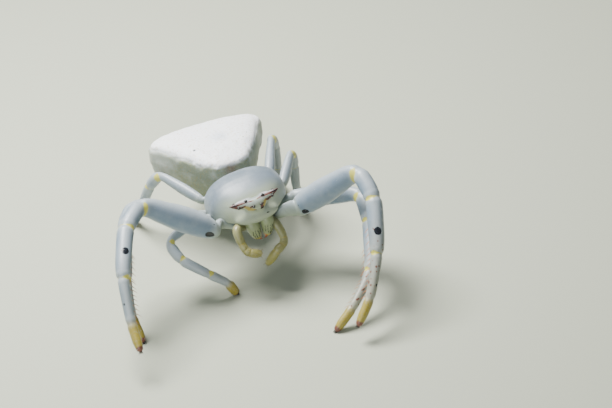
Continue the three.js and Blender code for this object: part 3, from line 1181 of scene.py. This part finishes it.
RUST_STROKES: tuple[Stroke, ...] = (
    (
        (-1.42, 0.33, 0.08), (-1.2, 0.28, 0.1), (-1.0, 0.27, 0.095),
        (-0.86, 0.27, 0.09), (-0.5, 0.25, 0.085),
    ),
    ((-0.38, 0.22, 0.05), (-0.27, 0.2, 0.06), (-0.16, 0.17, 0.05)),
    (
        (-1.42, 0.33, 0.08), (-1.17, 0.2, 0.065), (-0.9, 0.04, 0.09),
        (-0.72, 0.0, 0.075), (-0.56, 0.03, 0.055),
    ),
    ((-0.28, -0.17, 0.07), (-0.17, -0.17, 0.07)),
    (
        (0.15, 0.2, 0.05), (0.27, 0.23, 0.07), (0.44, 0.26, 0.085),
        (0.93, 0.27, 0.09), (1.42, 0.33, 0.09),
    ),
    ((1.42, 0.35, 0.08), (1.12, 0.19, 0.055), (1.0, 0.13, 0.05), (0.94, 0.05, 0.065)),
    ((0.8, 0.0, 0.085), (0.66, -0.06, 0.095), (0.56, -0.04, 0.045)),
    ((0.4, -0.2, 0.055), (0.3, -0.25, 0.085), (0.3, -0.42, 0.095)),
)
AMBER_STROKES: tuple[Stroke, ...] = (
    (
        (-0.6, -0.02, 0.06), (-0.48, -0.1, 0.09), (-0.38, -0.24, 0.11),
        (-0.2, -0.36, 0.075), (-0.07, -0.42, 0.05),
    ),
    ((0.56, -0.02, 0.06), (0.5, -0.1, 0.09), (0.44, -0.24, 0.08), (0.4, -0.36, 0.05)),
    ((0.1, 0.21, 0.045), (0.2, 0.23, 0.045)),
    ((-0.2, 0.19, 0.04), (-0.1, 0.16, 0.045)),
)


def stroke_depth(stroke: Stroke, across: float, height: float) -> float:
    """How far a point is inside a painted stroke.

    Args:
        stroke: The stroke's corners with its half width at each.
        across: The point's place across the mask.
        height: Its height on the mask.

    Returns:
        The depth, negative outside.
    """
    best = -FAR
    for (x, z, half), (next_x, next_z, next_half) in zip(stroke, stroke[1:]):
        run_x, run_z = next_x - x, next_z - z
        share = ((across - x) * run_x + (height - z) * run_z) / (run_x * run_x + run_z * run_z)
        share = min(max(share, 0.0), 1.0)
        away = math.hypot(across - x - run_x * share, height - z - run_z * share)
        best = max(best, half + (next_half - half) * share - away)
    return best


@dataclass
class Head:
    """The front part of the body: carapace, face, eyes, sternum and stalk."""

    hip: float = 3.6
    length: float = 3.8
    width: float = 4.15
    roll: float = 6.5
    pitch: float = 2.0
    horn_reach: float = 1.36
    cell: float = 0.029
    face_smoothing: int = 110
    bead: float = 0.66
    stand_out: float = 0.07
    outwards: Vector = Vector((0, -0.79, 0.61))

    def __post_init__(self) -> None:
        """Works out the sizes that follow from the others."""
        self.rear = self.length / 2
        self.face = -self.length / 2 + 0.15
        self.rim = self.hip + 0.42
        self.brow = self.hip + 1.46
        rolled = Matrix.Rotation(math.radians(-self.roll), 4, "Y")
        turn = rolled @ Matrix.Rotation(math.radians(self.pitch), 4, "X")
        centre = Matrix.Translation(Vector((0, 0, self.rim)))
        self.pose = Matrix.Translation(BODY) @ centre @ turn @ centre.inverted()

    def dome(self) -> Mesh:
        """The carapace."""
        face, rear, wide = self.face, self.rear, self.width / 2
        return Mound(
            face,
            rear,
            outline((face, 1.28), (-1.0, 1.7), (-0.1, wide), (0.6, wide), (1.3, 1.7), (rear, 1.2)),
            lambda y: self.rim,
            outline((face, 0.98), (-1.0, 1.3), (0.2, 1.5), (0.9, 1.36), (1.5, 0.95), (rear, 0.55)),
            lambda y: 0.22,
            0.62,
            0.82,
        ).mesh(64, 44)

    def brow_ridge(self) -> Mesh:
        """The ridge across the face, drawn out into a horn at each end."""
        half = self.horn_reach

        def place(t: float, angle: float, out: float) -> Vector:
            x = (2 * t - 1) * half
            thick = (MASK_TOP - MASK_LOW(abs(x))) / 2 + 0.015
            y = self.face + 0.14 - 0.08 * bell(x, 0.8)
            z = self.brow + MASK_TOP - thick - MASK_SLOPE * 0.12
            ahead, lift = math.sin(angle) * thick * out * 0.8, math.cos(angle) * thick * out
            return Vector((x, y + ahead, z + lift))

        return sleeve(24, 48, place)

    def lip(self) -> Mesh:
        """The lower face, which overhangs the roots of the jaws."""
        mesh = bmesh.new()
        bmesh.ops.create_uvsphere(mesh, u_segments=32, v_segments=20, radius=1)
        bmesh.ops.scale(mesh, vec=(1.2, 0.42, 0.42), verts=mesh.verts[:])
        bmesh.ops.translate(mesh, vec=(0, self.face + 0.2, self.rim + 0.16), verts=mesh.verts[:])
        return mesh

    def on_mask(self, vert: Vert) -> tuple[float, float] | None:
        """Where a point of the face falls on the plane of the mask.

        Args:
            vert: A vertex, before the head is turned.

        Returns:
            Its place across and above the middle of the brow, or nothing behind the face.
        """
        behind = vert.co.y - self.face
        if behind > MASK_REACH:
            return None
        return vert.co.x - MASK_DRIFT * behind, vert.co.z - self.brow + MASK_SLOPE * behind

    def behind_ridge(self, vert: Vert, across: float, height: float) -> bool:
        """Whether a point is on the dome behind the ridge, where the mask doesn't reach."""
        level = min(MASK_LOW(abs(across)), 0.2)
        return vert.co.y - self.face > RIDGE_REACH and height > level

    def skin(self) -> Mesh:
        """Carapace, brow and face in one skin, with the mask drawn between the horns."""
        mesh = fused([self.dome(), self.brow_ridge(), self.lip()], self.cell, 5)
        low = self.brow - 0.2
        face = [v for v in mesh.verts if v.co.z < low and v.co.y < self.face + 1.0]
        smooth(mesh, face, self.face_smoothing)

        def painted(strokes: Sequence[Stroke]) -> Reading:
            def depth(vert: Vert) -> float:
                here = self.on_mask(vert)
                if here is None or self.behind_ridge(vert, *here):
                    return -FAR
                return max(stroke_depth(stroke, *here) for stroke in strokes)

            return depth

        # A painted highlight: a pale band along the crest of the brow.
        def pale(vert: Vert) -> float:
            here = self.on_mask(vert)
            if here is None:
                return 0.0
            across, height = abs(here[0]), here[1]
            ends = ease((1.4 - across) / 0.25) * ease((across - 0.1) / 0.4)
            return bell(height - MASK_RIM, 0.05) * ends

        # Painted shade: darker higher up the dome, so its lower edges stay lighter as a painted rim
        # highlight.
        def tone_and_shade(vert: Vert) -> float:
            height = (vert.co.z - self.rim + 0.15) / 1.2
            dome = ease((vert.co.y - self.face + 0.1) / 0.3)
            return 0.2 + 0.75 * ease(height) * dome

        def green_and_shade(vert: Vert) -> float:
            low = ease((self.brow + 0.5 - vert.co.z) / 0.6)
            return 0.9 * low * ease((self.face + 1.6 - vert.co.y) / 1.2) * (1 - pale(vert))

        write_fields(mesh, {
            "rust": painted(RUST_STROKES),
            "amber": painted(AMBER_STROKES),
            "ink": painted(INK_STROKES),
            "tone_and_shade": tone_and_shade,
            "green_and_shade": green_and_shade,
            "pale": pale,
        })
        bmesh.ops.transform(mesh, matrix=self.pose, verts=mesh.verts[:])
        return mesh

    def eye_ball(self, node: str) -> Mesh:
        """One eye, a round bead set a little out from where its solid is.

        Args:
            node: The solid's node.

        Returns:
            The eye.
        """
        low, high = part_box(node)
        radius = (high - low).length / math.sqrt(12) / MM * self.bead
        forward = self.pose.to_3x3() @ self.outwards
        place = (low + high) / 2 / MM + forward * self.stand_out
        mesh = bmesh.new()
        bmesh.ops.create_uvsphere(
            mesh, u_segments=24, v_segments=14, radius=radius, matrix=Matrix.Translation(place)
        )
        return mesh

    def underside(self) -> Mesh:
        """The sternum, the soft flanks between the legs and the stalk."""
        sternum = Mound(
            -1.25,
            1.25,
            outline((-1.25, 0.6), (-0.4, 0.95), (0.5, 0.85), (1.25, 0.4)),
            lambda y: self.hip - 0.1,
            lambda y: 0.2,
            lambda y: 0.52,
            0.6,
            0.7,
        ).mesh(40, 28)
        flank = Mound(
            -1.55,
            1.6,
            outline((-1.55, 0.75), (-0.3, 1.45), (0.6, 1.45), (1.6, 0.8)),
            lambda y: self.hip + 0.15,
            lambda y: 0.5,
            lambda y: 0.3,
            0.7,
            0.8,
        ).mesh(40, 28)
        stalk = sleeve(
            16,
            14,
            lambda t, angle, out: Vector((
                math.sin(angle) * 0.38 * out,
                1.0 + t * 1.7,
                self.hip + 0.12 + 0.25 * t + math.cos(angle) * 0.29 * out,
            )),
        )
        mesh = fused([sternum, flank, stalk], 0.07, 3)
        write_fields(mesh, {"green_and_shade": lambda v: 0.55, "tone_and_shade": lambda v: 0.3})
        bmesh.ops.translate(mesh, vec=BODY, verts=mesh.verts[:])
        return mesh

    def build(self) -> None:
        """Makes the carapace, the eyes and the underside."""
        horns = [f"horn_{label}" for label in SIDES]
        Finished("carapace_skin", self.skin(), HEAD_SKIN, "face", ["carapace", *horns]).place()
        for place in EYE_ROWS:
            for label in SIDES:
                node = f"eye_{place}_{label}"
                Finished(f"{node}_lens", self.eye_ball(node), EYE_GLASS, "eye", [node]).place()
        nodes = ["sternum", "pedicel"]
        Finished("underside_skin", self.underside(), HEAD_SKIN, "leg_skin", nodes).place()


# Where each row of bristles runs round a jaw, in radians, and how many it has.
BRISTLE_ROWS = ((-0.75, 3), (-0.3, 4), (0.1, 5), (0.5, 5))


@dataclass
class Jaws:
    """The two chelicerae with their bristles and fangs."""

    head: Head
    radius: Callable[[float], float] = outline(
        (0, 0.3), (0.35, 0.355), (0.6, 0.33), (0.8, 0.26), (0.93, 0.17), (1, 0.02)
    )

    def axis(self, side: int, t: float) -> tuple[Vector, float]:
        """The centre line and radius of one jaw.

        Args:
            side: 1 for the spider's left.
            t: The share from root to tip.

        Returns:
            The point and the radius.
        """
        rim, face = self.head.rim, self.head.face
        one = Vector((side * 0.4, face + 0.28, rim + 0.1))
        two = Vector((side * 0.42, face - 0.02, rim - 0.5))
        three = Vector((side * 0.24, face + 0.12, rim - 1.22))
        centre = one * (1 - t) ** 2 + two * (2 * t * (1 - t)) + three * t * t
        return centre, self.radius(t)

    def point(self, side: int, t: float, angle: float, out: float = 1.0) -> Vector:
        """A point on a jaw's skin, with angle 0 at the front."""
        centre, radius = self.axis(side, t)
        offset = Vector((math.sin(angle) * radius, -math.cos(angle) * radius * 1.05, 0)) * out
        return centre + offset

    def skin(self, side: int) -> Mesh:
        """One jaw's skin, with its rust-coloured end."""
        mesh = sleeve(32, 44, lambda t, angle, out: self.point(side, t, angle, out))
        along = mesh.verts.layers.float["along"]
        write_fields(mesh, {
            "rust": lambda v: min((v[along] - 0.8) * 0.6, 0.2 - side * v.co.x),
            "amber": lambda v: 0.12 * ease((v[along] - 0.72) / 0.2) - 0.03,
            "green_and_shade": lambda v: 0.35 + 0.3 * v[along],
            "tone_and_shade": lambda v: 0.25,
        })
        for vert in mesh.verts:
            vert.co.x = side * max(side * vert.co.x, 0.035)
        bmesh.ops.transform(mesh, matrix=self.head.pose, verts=mesh.verts[:])
        return mesh

    def bristles(self) -> Mesh:
        """The rows of short black bristles down the front of both jaws."""
        spikes = Spikes(4)
        draw = random.Random(11)
        for side in (-1, 1):
            for row, count in BRISTLE_ROWS:
                for k in range(count):
                    t = 0.42 + 0.085 * k + draw.uniform(-0.02, 0.02)
                    angle = row * side + draw.uniform(-0.06, 0.06)
                    root = self.point(side, t, angle, 0.97)
                    out = (root - self.axis(side, t)[0]).normalized()
                    aim = (out * 0.5 + Vector((0, -0.1, -1))).normalized()
                    place = ((angle / math.tau) % 1, t)
                    length = draw.uniform(0.1, 0.15)
                    spikes.add(root, aim, length, 0.02, place, Vector((0, 0, -0.02)))
        bmesh.ops.transform(spikes.mesh, matrix=self.head.pose, verts=spikes.mesh.verts[:])
        return spikes.mesh

    def fangs(self) -> Mesh:
        """The two fangs, folded in under the ends of the jaws."""
        spikes = Spikes(12, 6)
        for side in (-1, 1):
            root, _ = self.axis(side, 0.96)
            aim = Vector((-side * 0.55, -0.1, -0.8)).normalized()
            bend = Vector((-side * 0.06, 0.06, 0))
            place = (0.5 + side * 0.2, 0.97)
            spikes.add(root + Vector((0, -0.04, 0.06)), aim, 0.28, 0.1, place, bend)
        bmesh.ops.transform(spikes.mesh, matrix=self.head.pose, verts=spikes.mesh.verts[:])
        return spikes.mesh

    def build(self) -> None:
        """Makes both jaws."""
        for label, side in SIDES.items():
            node = f"chelicera_{label}"
            Finished(f"{node}_skin", self.skin(side), JAW_SKIN, "jaw_skin", [node]).place()
        Finished("jaw_bristles", self.bristles(), BRISTLE_HORN, "eye").place()
        Finished("fangs", self.fangs(), FANG_HORN, "jaw_skin").place()


@dataclass
class Feeler:
    """One pedipalp, skinned over its solid."""

    name: str
    joints: Sequence[Vector]
    rings: tuple[float, ...] = (0.45, 0.6, 0.75)

    def _curve(self, t: float) -> Vector:
        """A smooth curve through the joints."""
        count = len(self.joints) - 1
        i = min(int(t * count), count - 1)
        u = t * count - i
        four = [self.joints[min(max(k, 0), count)] for k in (i - 1, i, i + 1, i + 2)]
        return hermite(four, (0.0, 1.0, 2.0, 3.0), u)

    def radius(self, t: float) -> float:
        """The feeler's radius, pinched at its joints."""
        size = outline((0, 0.27), (0.5, 0.215), (0.85, 0.225), (0.95, 0.16), (1, 0.02))(t)
        return size * (1 - 0.1 * sum(bell(t - ring, 0.02) for ring in self.rings))

    def frame_at(self, t: float) -> tuple[Vector, Vector, Vector]:
        """The centre and two axes across the feeler."""
        centre = self._curve(t)
        tangent = (self._curve(min(t + 0.01, 1)) - self._curve(max(t - 0.01, 0))).normalized()
        across = tangent.cross(Vector((0, 1, 0.2))).normalized()
        return centre, across, tangent.cross(across)

    def skin(self) -> Mesh:
        """The feeler's skin."""

        def place(t: float, angle: float, out: float) -> Vector:
            centre, across, over = self.frame_at(t)
            size = self.radius(t) * out
            return centre + across * (math.cos(angle) * size) + over * (math.sin(angle) * size)

        mesh = sleeve(24, 80, place)
        along = mesh.verts.layers.float["along"]
        write_fields(mesh, {
            "green_and_shade": lambda v: 0.3 + 0.6 * v[along],
            "tone_and_shade": lambda v: 0.5 * ease(math.sin(math.pi * v[along])),
            "amber": lambda v: max(0.02 - abs(v[along] - ring) * 1.5 for ring in self.rings),
            "rust": lambda v: v[along] - 0.97,
        })
        bmesh.ops.translate(mesh, vec=BODY, verts=mesh.verts[:])
        return mesh

    def hairs(self) -> Mesh:
        """The hairs on the feeler's last joints."""
        spikes = Spikes(3)
        draw = random.Random(self.name)
        for _ in range(110):
            t = 0.45 + 0.53 * draw.random() ** 0.7
            centre, across, over = self.frame_at(t)
            angle = draw.uniform(-math.pi, math.pi)
            out = across * math.cos(angle) + over * math.sin(angle)
            tangent = (self._curve(min(t + 0.01, 1)) - centre).normalized()
            aim = (out * 0.7 + tangent).normalized()
            root = centre + out * self.radius(t) * 0.95
            place = ((angle / math.tau) % 1, t)
            spikes.add(root, aim, draw.uniform(0.1, 0.18), 0.008, place, out * 0.02)
        bmesh.ops.translate(spikes.mesh, vec=BODY, verts=spikes.mesh.verts[:])
        return spikes.mesh

    def build(self) -> None:
        """Makes the feeler and its hairs."""
        Finished(f"{self.name}_skin", self.skin(), FEELER_SKIN, "palp_skin", [self.name]).place()
        Finished(f"{self.name}_hairs", self.hairs(), FEELER_HAIR, "palp_skin").place()


# Dots and creases of the back as (x, y, size) from the middle of the sternum.
BACK_DOTS = (
    (-2.15, 4.65, 0.075), (-1.33, 3.7, 0.085), (1.33, 3.7, 0.06),
    (0.72, 4.3, 0.05), (1.68, 4.2, 0.06), (2.1, 4.9, 0.05),
)
BLUE_SPOT = (0.2, 4.25)
BROWN_BLOTCH = (0.0, 2.2, 4.75)
CREASES = (
    (-2.15, 4.65, 0.03), (-1.33, 3.7, 0.04), (1.33, 3.7, 0.04), (0.2, 4.25, 0.03),
    (-1.0, 5.4, 0.03), (1.0, 5.4, 0.03), (0, 3.2, 0.03),
)


@dataclass
class Abdomen:
    """The broad flat-backed abdomen with its two corners, and the spinnerets."""

    front: float = 2.1
    length: float = 5.6
    span: float = 6.15
    humps: float = 6.0

    def form(self) -> Mound:
        """The abdomen's outlines."""
        rear = self.front + self.length
        half = self.span / 2
        humps = self.humps
        return Mound(
            self.front,
            rear,
            outline(
                (self.front, 1.25),
                (humps - 0.7, half - 0.32),
                (humps - 0.15, half),
                (humps + 0.15, half),
                (humps + 0.7, half - 0.7),
                (rear, 0.9),
            ),
            outline((self.front, 4.8), (humps, 4.5), (rear, 3.6)),
            outline((self.front, 0.55), (4.2, 0.78), (humps, 0.78), (rear, 0.4)),
            outline((self.front, 1.5), (4.2, 2.7), (humps, 2.55), (rear, 1.2)),
            0.55,
            0.72,
        )

    def margin(self, place: Vector, form: Mound) -> float:
        """The height of the crinkled edge between the back and the flanks."""
        ripple = noise.noise(Vector((place.x * 1.9, place.y * 1.9, 0.3))) * 0.1
        return form.rim(place.y) + 0.3 * form.top(place.y) + ripple

    def relief(self, place: Vector, form: Mound) -> float:
        """How far the skin stands out from the smooth form, in millimetres."""
        edge = bell(place.z - self.margin(place, form), 0.13)
        crinkle = 0.05 * noise.noise(place * 2.6) + 0.02 * noise.noise(place * 6.5)
        creases = 0.0
        if place.z > form.rim(place.y):
            for x, y, depth in CREASES:
                creases -= depth * bell(math.dist(place.xy, (x, y)), 0.28)
        else:
            fold = math.sin(place.z * 9 + noise.noise(place * 0.8) * 3)
            creases += 0.012 * fold * ease((form.rim(place.y) - place.z) / 0.5)
        return 0.05 * edge + crinkle * (0.4 + edge) + creases

    def skin(self) -> Mesh:
        """The abdomen's skin, with its pits, dots and shaded flanks."""
        form = self.form()
        mesh = form.mesh(240, 150)
        smooth(mesh, mesh.verts[:], 1)
        mesh.normal_update()
        moves = [(vert, vert.normal * self.relief(vert.co, form)) for vert in mesh.verts]
        for vert, move in moves:
            vert.co += move

        def above(vert: Vert) -> float:
            return vert.co.z - self.margin(vert.co, form)

        def ink(vert: Vert) -> float:
            if above(vert) < 0.1:
                return -FAR
            return max(size - math.dist(vert.co.xy, (x, y)) for x, y, size in BACK_DOTS)

        # Painted shade: greenish grey on the flanks below the back's edge, stronger towards the
        # front.
        def green_and_shade(vert: Vert) -> float:
            return ease((0.1 - above(vert)) / 0.22) * (0.7 + 0.3 * ease((5.5 - vert.co.y) / 2.5))

        def tone_and_shade(vert: Vert) -> float:
            return 0.6 * bell(math.dist(vert.co.xy, BLUE_SPOT), 0.4) if above(vert) > 0 else 0.12

        def straw(vert: Vert) -> float:
            return 0.8 * bell((vert.co - Vector(BROWN_BLOTCH)).length, 0.32)

        write_fields(mesh, {"ink": ink, "green_and_shade": green_and_shade, "tone_and_shade": tone_and_shade, "straw": straw})
        bmesh.ops.translate(mesh, vec=BODY, verts=mesh.verts[:])
        return mesh

    def spinnerets(self) -> Mesh:
        """The cluster of short spinning cones under the rear end."""
        root = Vector((0, self.front + self.length - 0.8, 2.9))
        cones = [(0.0, 0.0, 1.0, 0.42)]
        cones += [(s * 0.2, s * 0.14, 1.25, 0.26) for s in (-1, 1)]
        cones += [(s * 0.15, s * 0.1, 0.95, 0.3) for s in (-1, 1)]
        meshes = []
        for x, spread, length, radius in cones:
            run = Vector((spread, length, -0.75))
            turn = run.to_track_quat("Z", "Y").to_matrix()

            def place(t: float, angle: float, out: float) -> Vector:
                round_off = math.sqrt(max(1 - max(t - 0.85, 0) ** 2 / 0.0225, 0.01))
                size = radius * (1 - 0.4 * t) * out * round_off
                ring = Vector((math.cos(angle) * size, math.sin(angle) * size, t * run.length))
                return root + Vector((x, 0, 0)) + turn @ ring

            meshes.append(sleeve(20, 20, place))
        mesh = fused(meshes, 0.05, 2)
        write_fields(mesh, {"green_and_shade": lambda v: 0.7, "amber": lambda v: -0.1})
        bmesh.ops.translate(mesh, vec=BODY, verts=mesh.verts[:])
        return mesh

    def build(self) -> None:
        """Makes the abdomen and the spinnerets."""
        Finished("abdomen_skin", self.skin(), ABDOMEN_SKIN, "abdomen_white", ["abdomen"]).place()
        cones = self.spinnerets()
        Finished("spinnerets_skin", cones, LEG_SKIN, "leg_skin", ["spinnerets"]).place()


# The set


@dataclass
class Studio:
    """The floor, the lights and the camera."""

    azimuth: float = 18.0
    elevation: float = 33.0
    roll: float = 6.0
    distance: float = 240.0
    pixels_per_mm: float = 20.0
    aim: Vector = Vector((0, -1.45, 5.1))
    aim_pixel: tuple[float, float] = (255.0, 197.0)
    image: tuple[float, float] = (612.0, 408.0)

    def axes(self) -> tuple[Vector, Vector, Vector]:
        """The camera's right, up and back directions."""
        a, e, k = (math.radians(x) for x in (self.azimuth, self.elevation, self.roll))
        back = Vector((-math.sin(a) * math.cos(e), -math.cos(a) * math.cos(e), math.sin(e)))
        level = Vector((math.cos(a), -math.sin(a), 0))
        high = back.cross(level)
        right = level * math.cos(k) - high * math.sin(k)
        return right, level * math.sin(k) + high * math.cos(k), back

    def camera(self) -> None:
        """Sets the camera at the photograph's angle and framing."""
        right, up, back = self.axes()
        aside = (self.image[0] / 2 - self.aim_pixel[0]) / self.pixels_per_mm
        raised = (self.aim_pixel[1] - self.image[1] / 2) / self.pixels_per_mm
        place = BODY + self.aim + back * self.distance + right * aside + up * raised
        data = bpy.data.cameras.new("camera")
        data.sensor_width = 36.0
        data.lens = self.pixels_per_mm * self.distance / self.image[0] * data.sensor_width
        data.clip_start, data.clip_end = 0.01, 20.0
        camera = linked("camera", data)
        turn = Matrix((right, up, back)).transposed().to_4x4()
        camera.matrix_world = Matrix.Translation(place * MM) @ turn
        bpy.context.scene.camera = camera

    def floor(self) -> None:
        """Lays the pale floor."""
        mesh = bmesh.new()
        bmesh.ops.create_grid(mesh, x_segments=1, y_segments=1, size=0.6)
        data = bpy.data.meshes.new("floor")
        mesh.to_mesh(data)
        mesh.free()
        data.materials.append(material_of(Ground()))
        floor = linked("floor", data)

    def light(
        self, name: str, place: tuple[float, float, float], size: float, power: float, tint: Colour
    ) -> None:
        """Hangs one soft light that faces the spider.

        Args:
            name: The light's name.
            place: Where it hangs, in millimetres from the spider.
            size: Its width in millimetres.
            power: Its power in milliwatts.
            tint: Its colour.
        """
        data = bpy.data.lights.new(name, "AREA")
        data.shape = "DISK"
        data.size = size * MM
        data.energy = power / 1000
        data.color = tint
        lamp = linked(name, data)
        where = BODY + Vector(place)
        turn = (Vector(place) - Vector((0, 0, 3))).to_track_quat("Z", "Y").to_matrix().to_4x4()
        lamp.matrix_world = Matrix.Translation(where * MM) @ turn

    def lights(self) -> None:
        """A broad light from above and behind, and a weak one from the camera's side."""
        self.light("overhead", (-14, 22, 60), 36, 160, (1.0, 1.0, 0.98))
        self.light("fill", (-45, -50, 25), 50, 30, (0.9, 0.96, 1.0))
        world = bpy.data.worlds.new("studio")
        world.use_nodes = True
        sky = world.node_tree.nodes["Background"]
        sky.inputs["Color"].default_value = (0.86, 0.92, 1.0, 1.0)
        sky.inputs["Strength"].default_value = 0.19
        bpy.context.scene.world = world

    def build(self) -> None:
        """Makes the whole set."""
        self.camera()
        self.floor()
        self.lights()


# The feelers' joints as (outwards, y, above the hips).
FEELER_JOINTS = {
    "left": (
        (0.62, -1.05, -0.25),
        (0.85, -1.75, -0.2),
        (1.02, -2.25, -0.95),
        (0.5, -2.45, -1.35),
        (-0.02, -2.2, -2.15),
    ),
    "right": (
        (0.62, -1.05, -0.25),
        (1.22, -1.75, 0.05),
        (1.14, -2.25, -0.65),
        (0.9, -2.5, -0.95),
        (0.3, -2.65, -1.1),
    ),
}
LEG_MARKS = {
    "leg_1_left": [
        Mark(Segment.FEMUR, 0.125, 124, 0.21, 1.1),
        Mark(Segment.FEMUR, 0.1, 73, 0.06),
        Mark(Segment.FEMUR, 0.37, 31, 0.05),
        Mark(Segment.FEMUR, 0.67, 2, 0.04),
        Mark(Segment.TIBIA, 0.62, 1, 0.23),
        Mark(Segment.METATARSUS, 0.7, -46, 0.1),
    ],
    "leg_1_right": [
        Mark(Segment.FEMUR, 0.1, 100, 0.2, 1.1),
        Mark(Segment.FEMUR, 0.08, 38, 0.065),
        Mark(Segment.FEMUR, 0.34, -20, 0.035),
        Mark(Segment.FEMUR, 0.62, -24, 0.035),
        Mark(Segment.TIBIA, 0.54, 8, 0.22),
        Mark(Segment.METATARSUS, 0.57, -45, 0.075),
    ],
}
LEG_RED_MARKS = {"leg_1_right": [Mark(Segment.COXA, 0.92, 23, 0.06)]}
RED_SPOTTED = ("leg_1_left", "leg_2_left")


def main() -> None:
    """Builds the spider piece by piece."""
    logging.basicConfig(level=logging.INFO)
    Studio().build()
    head = Head()
    head.build()
    Jaws(head).build()
    for label, side in SIDES.items():
        joints = [Vector((side * x, y, head.hip + z)) for x, y, z in FEELER_JOINTS[label]]
        Feeler(f"pedipalp_{label}", joints).build()
    Abdomen().build()
    for pair in range(4):
        for label, side in SIDES.items():
            name = f"leg_{pair + 1}_{label}"
            red_marks = list(LEG_RED_MARKS.get(name, []))
            leg = Leg(name, side, pair, LEG_MARKS.get(name, []), red_marks)
            if name in RED_SPOTTED:
                # The left front legs get a stronger buff, a painted bounce light.
                leg.buff_and_bounce = 0.4
                leg.scatter_red()
            leg.build()


if __name__ == "__main__":
    main()
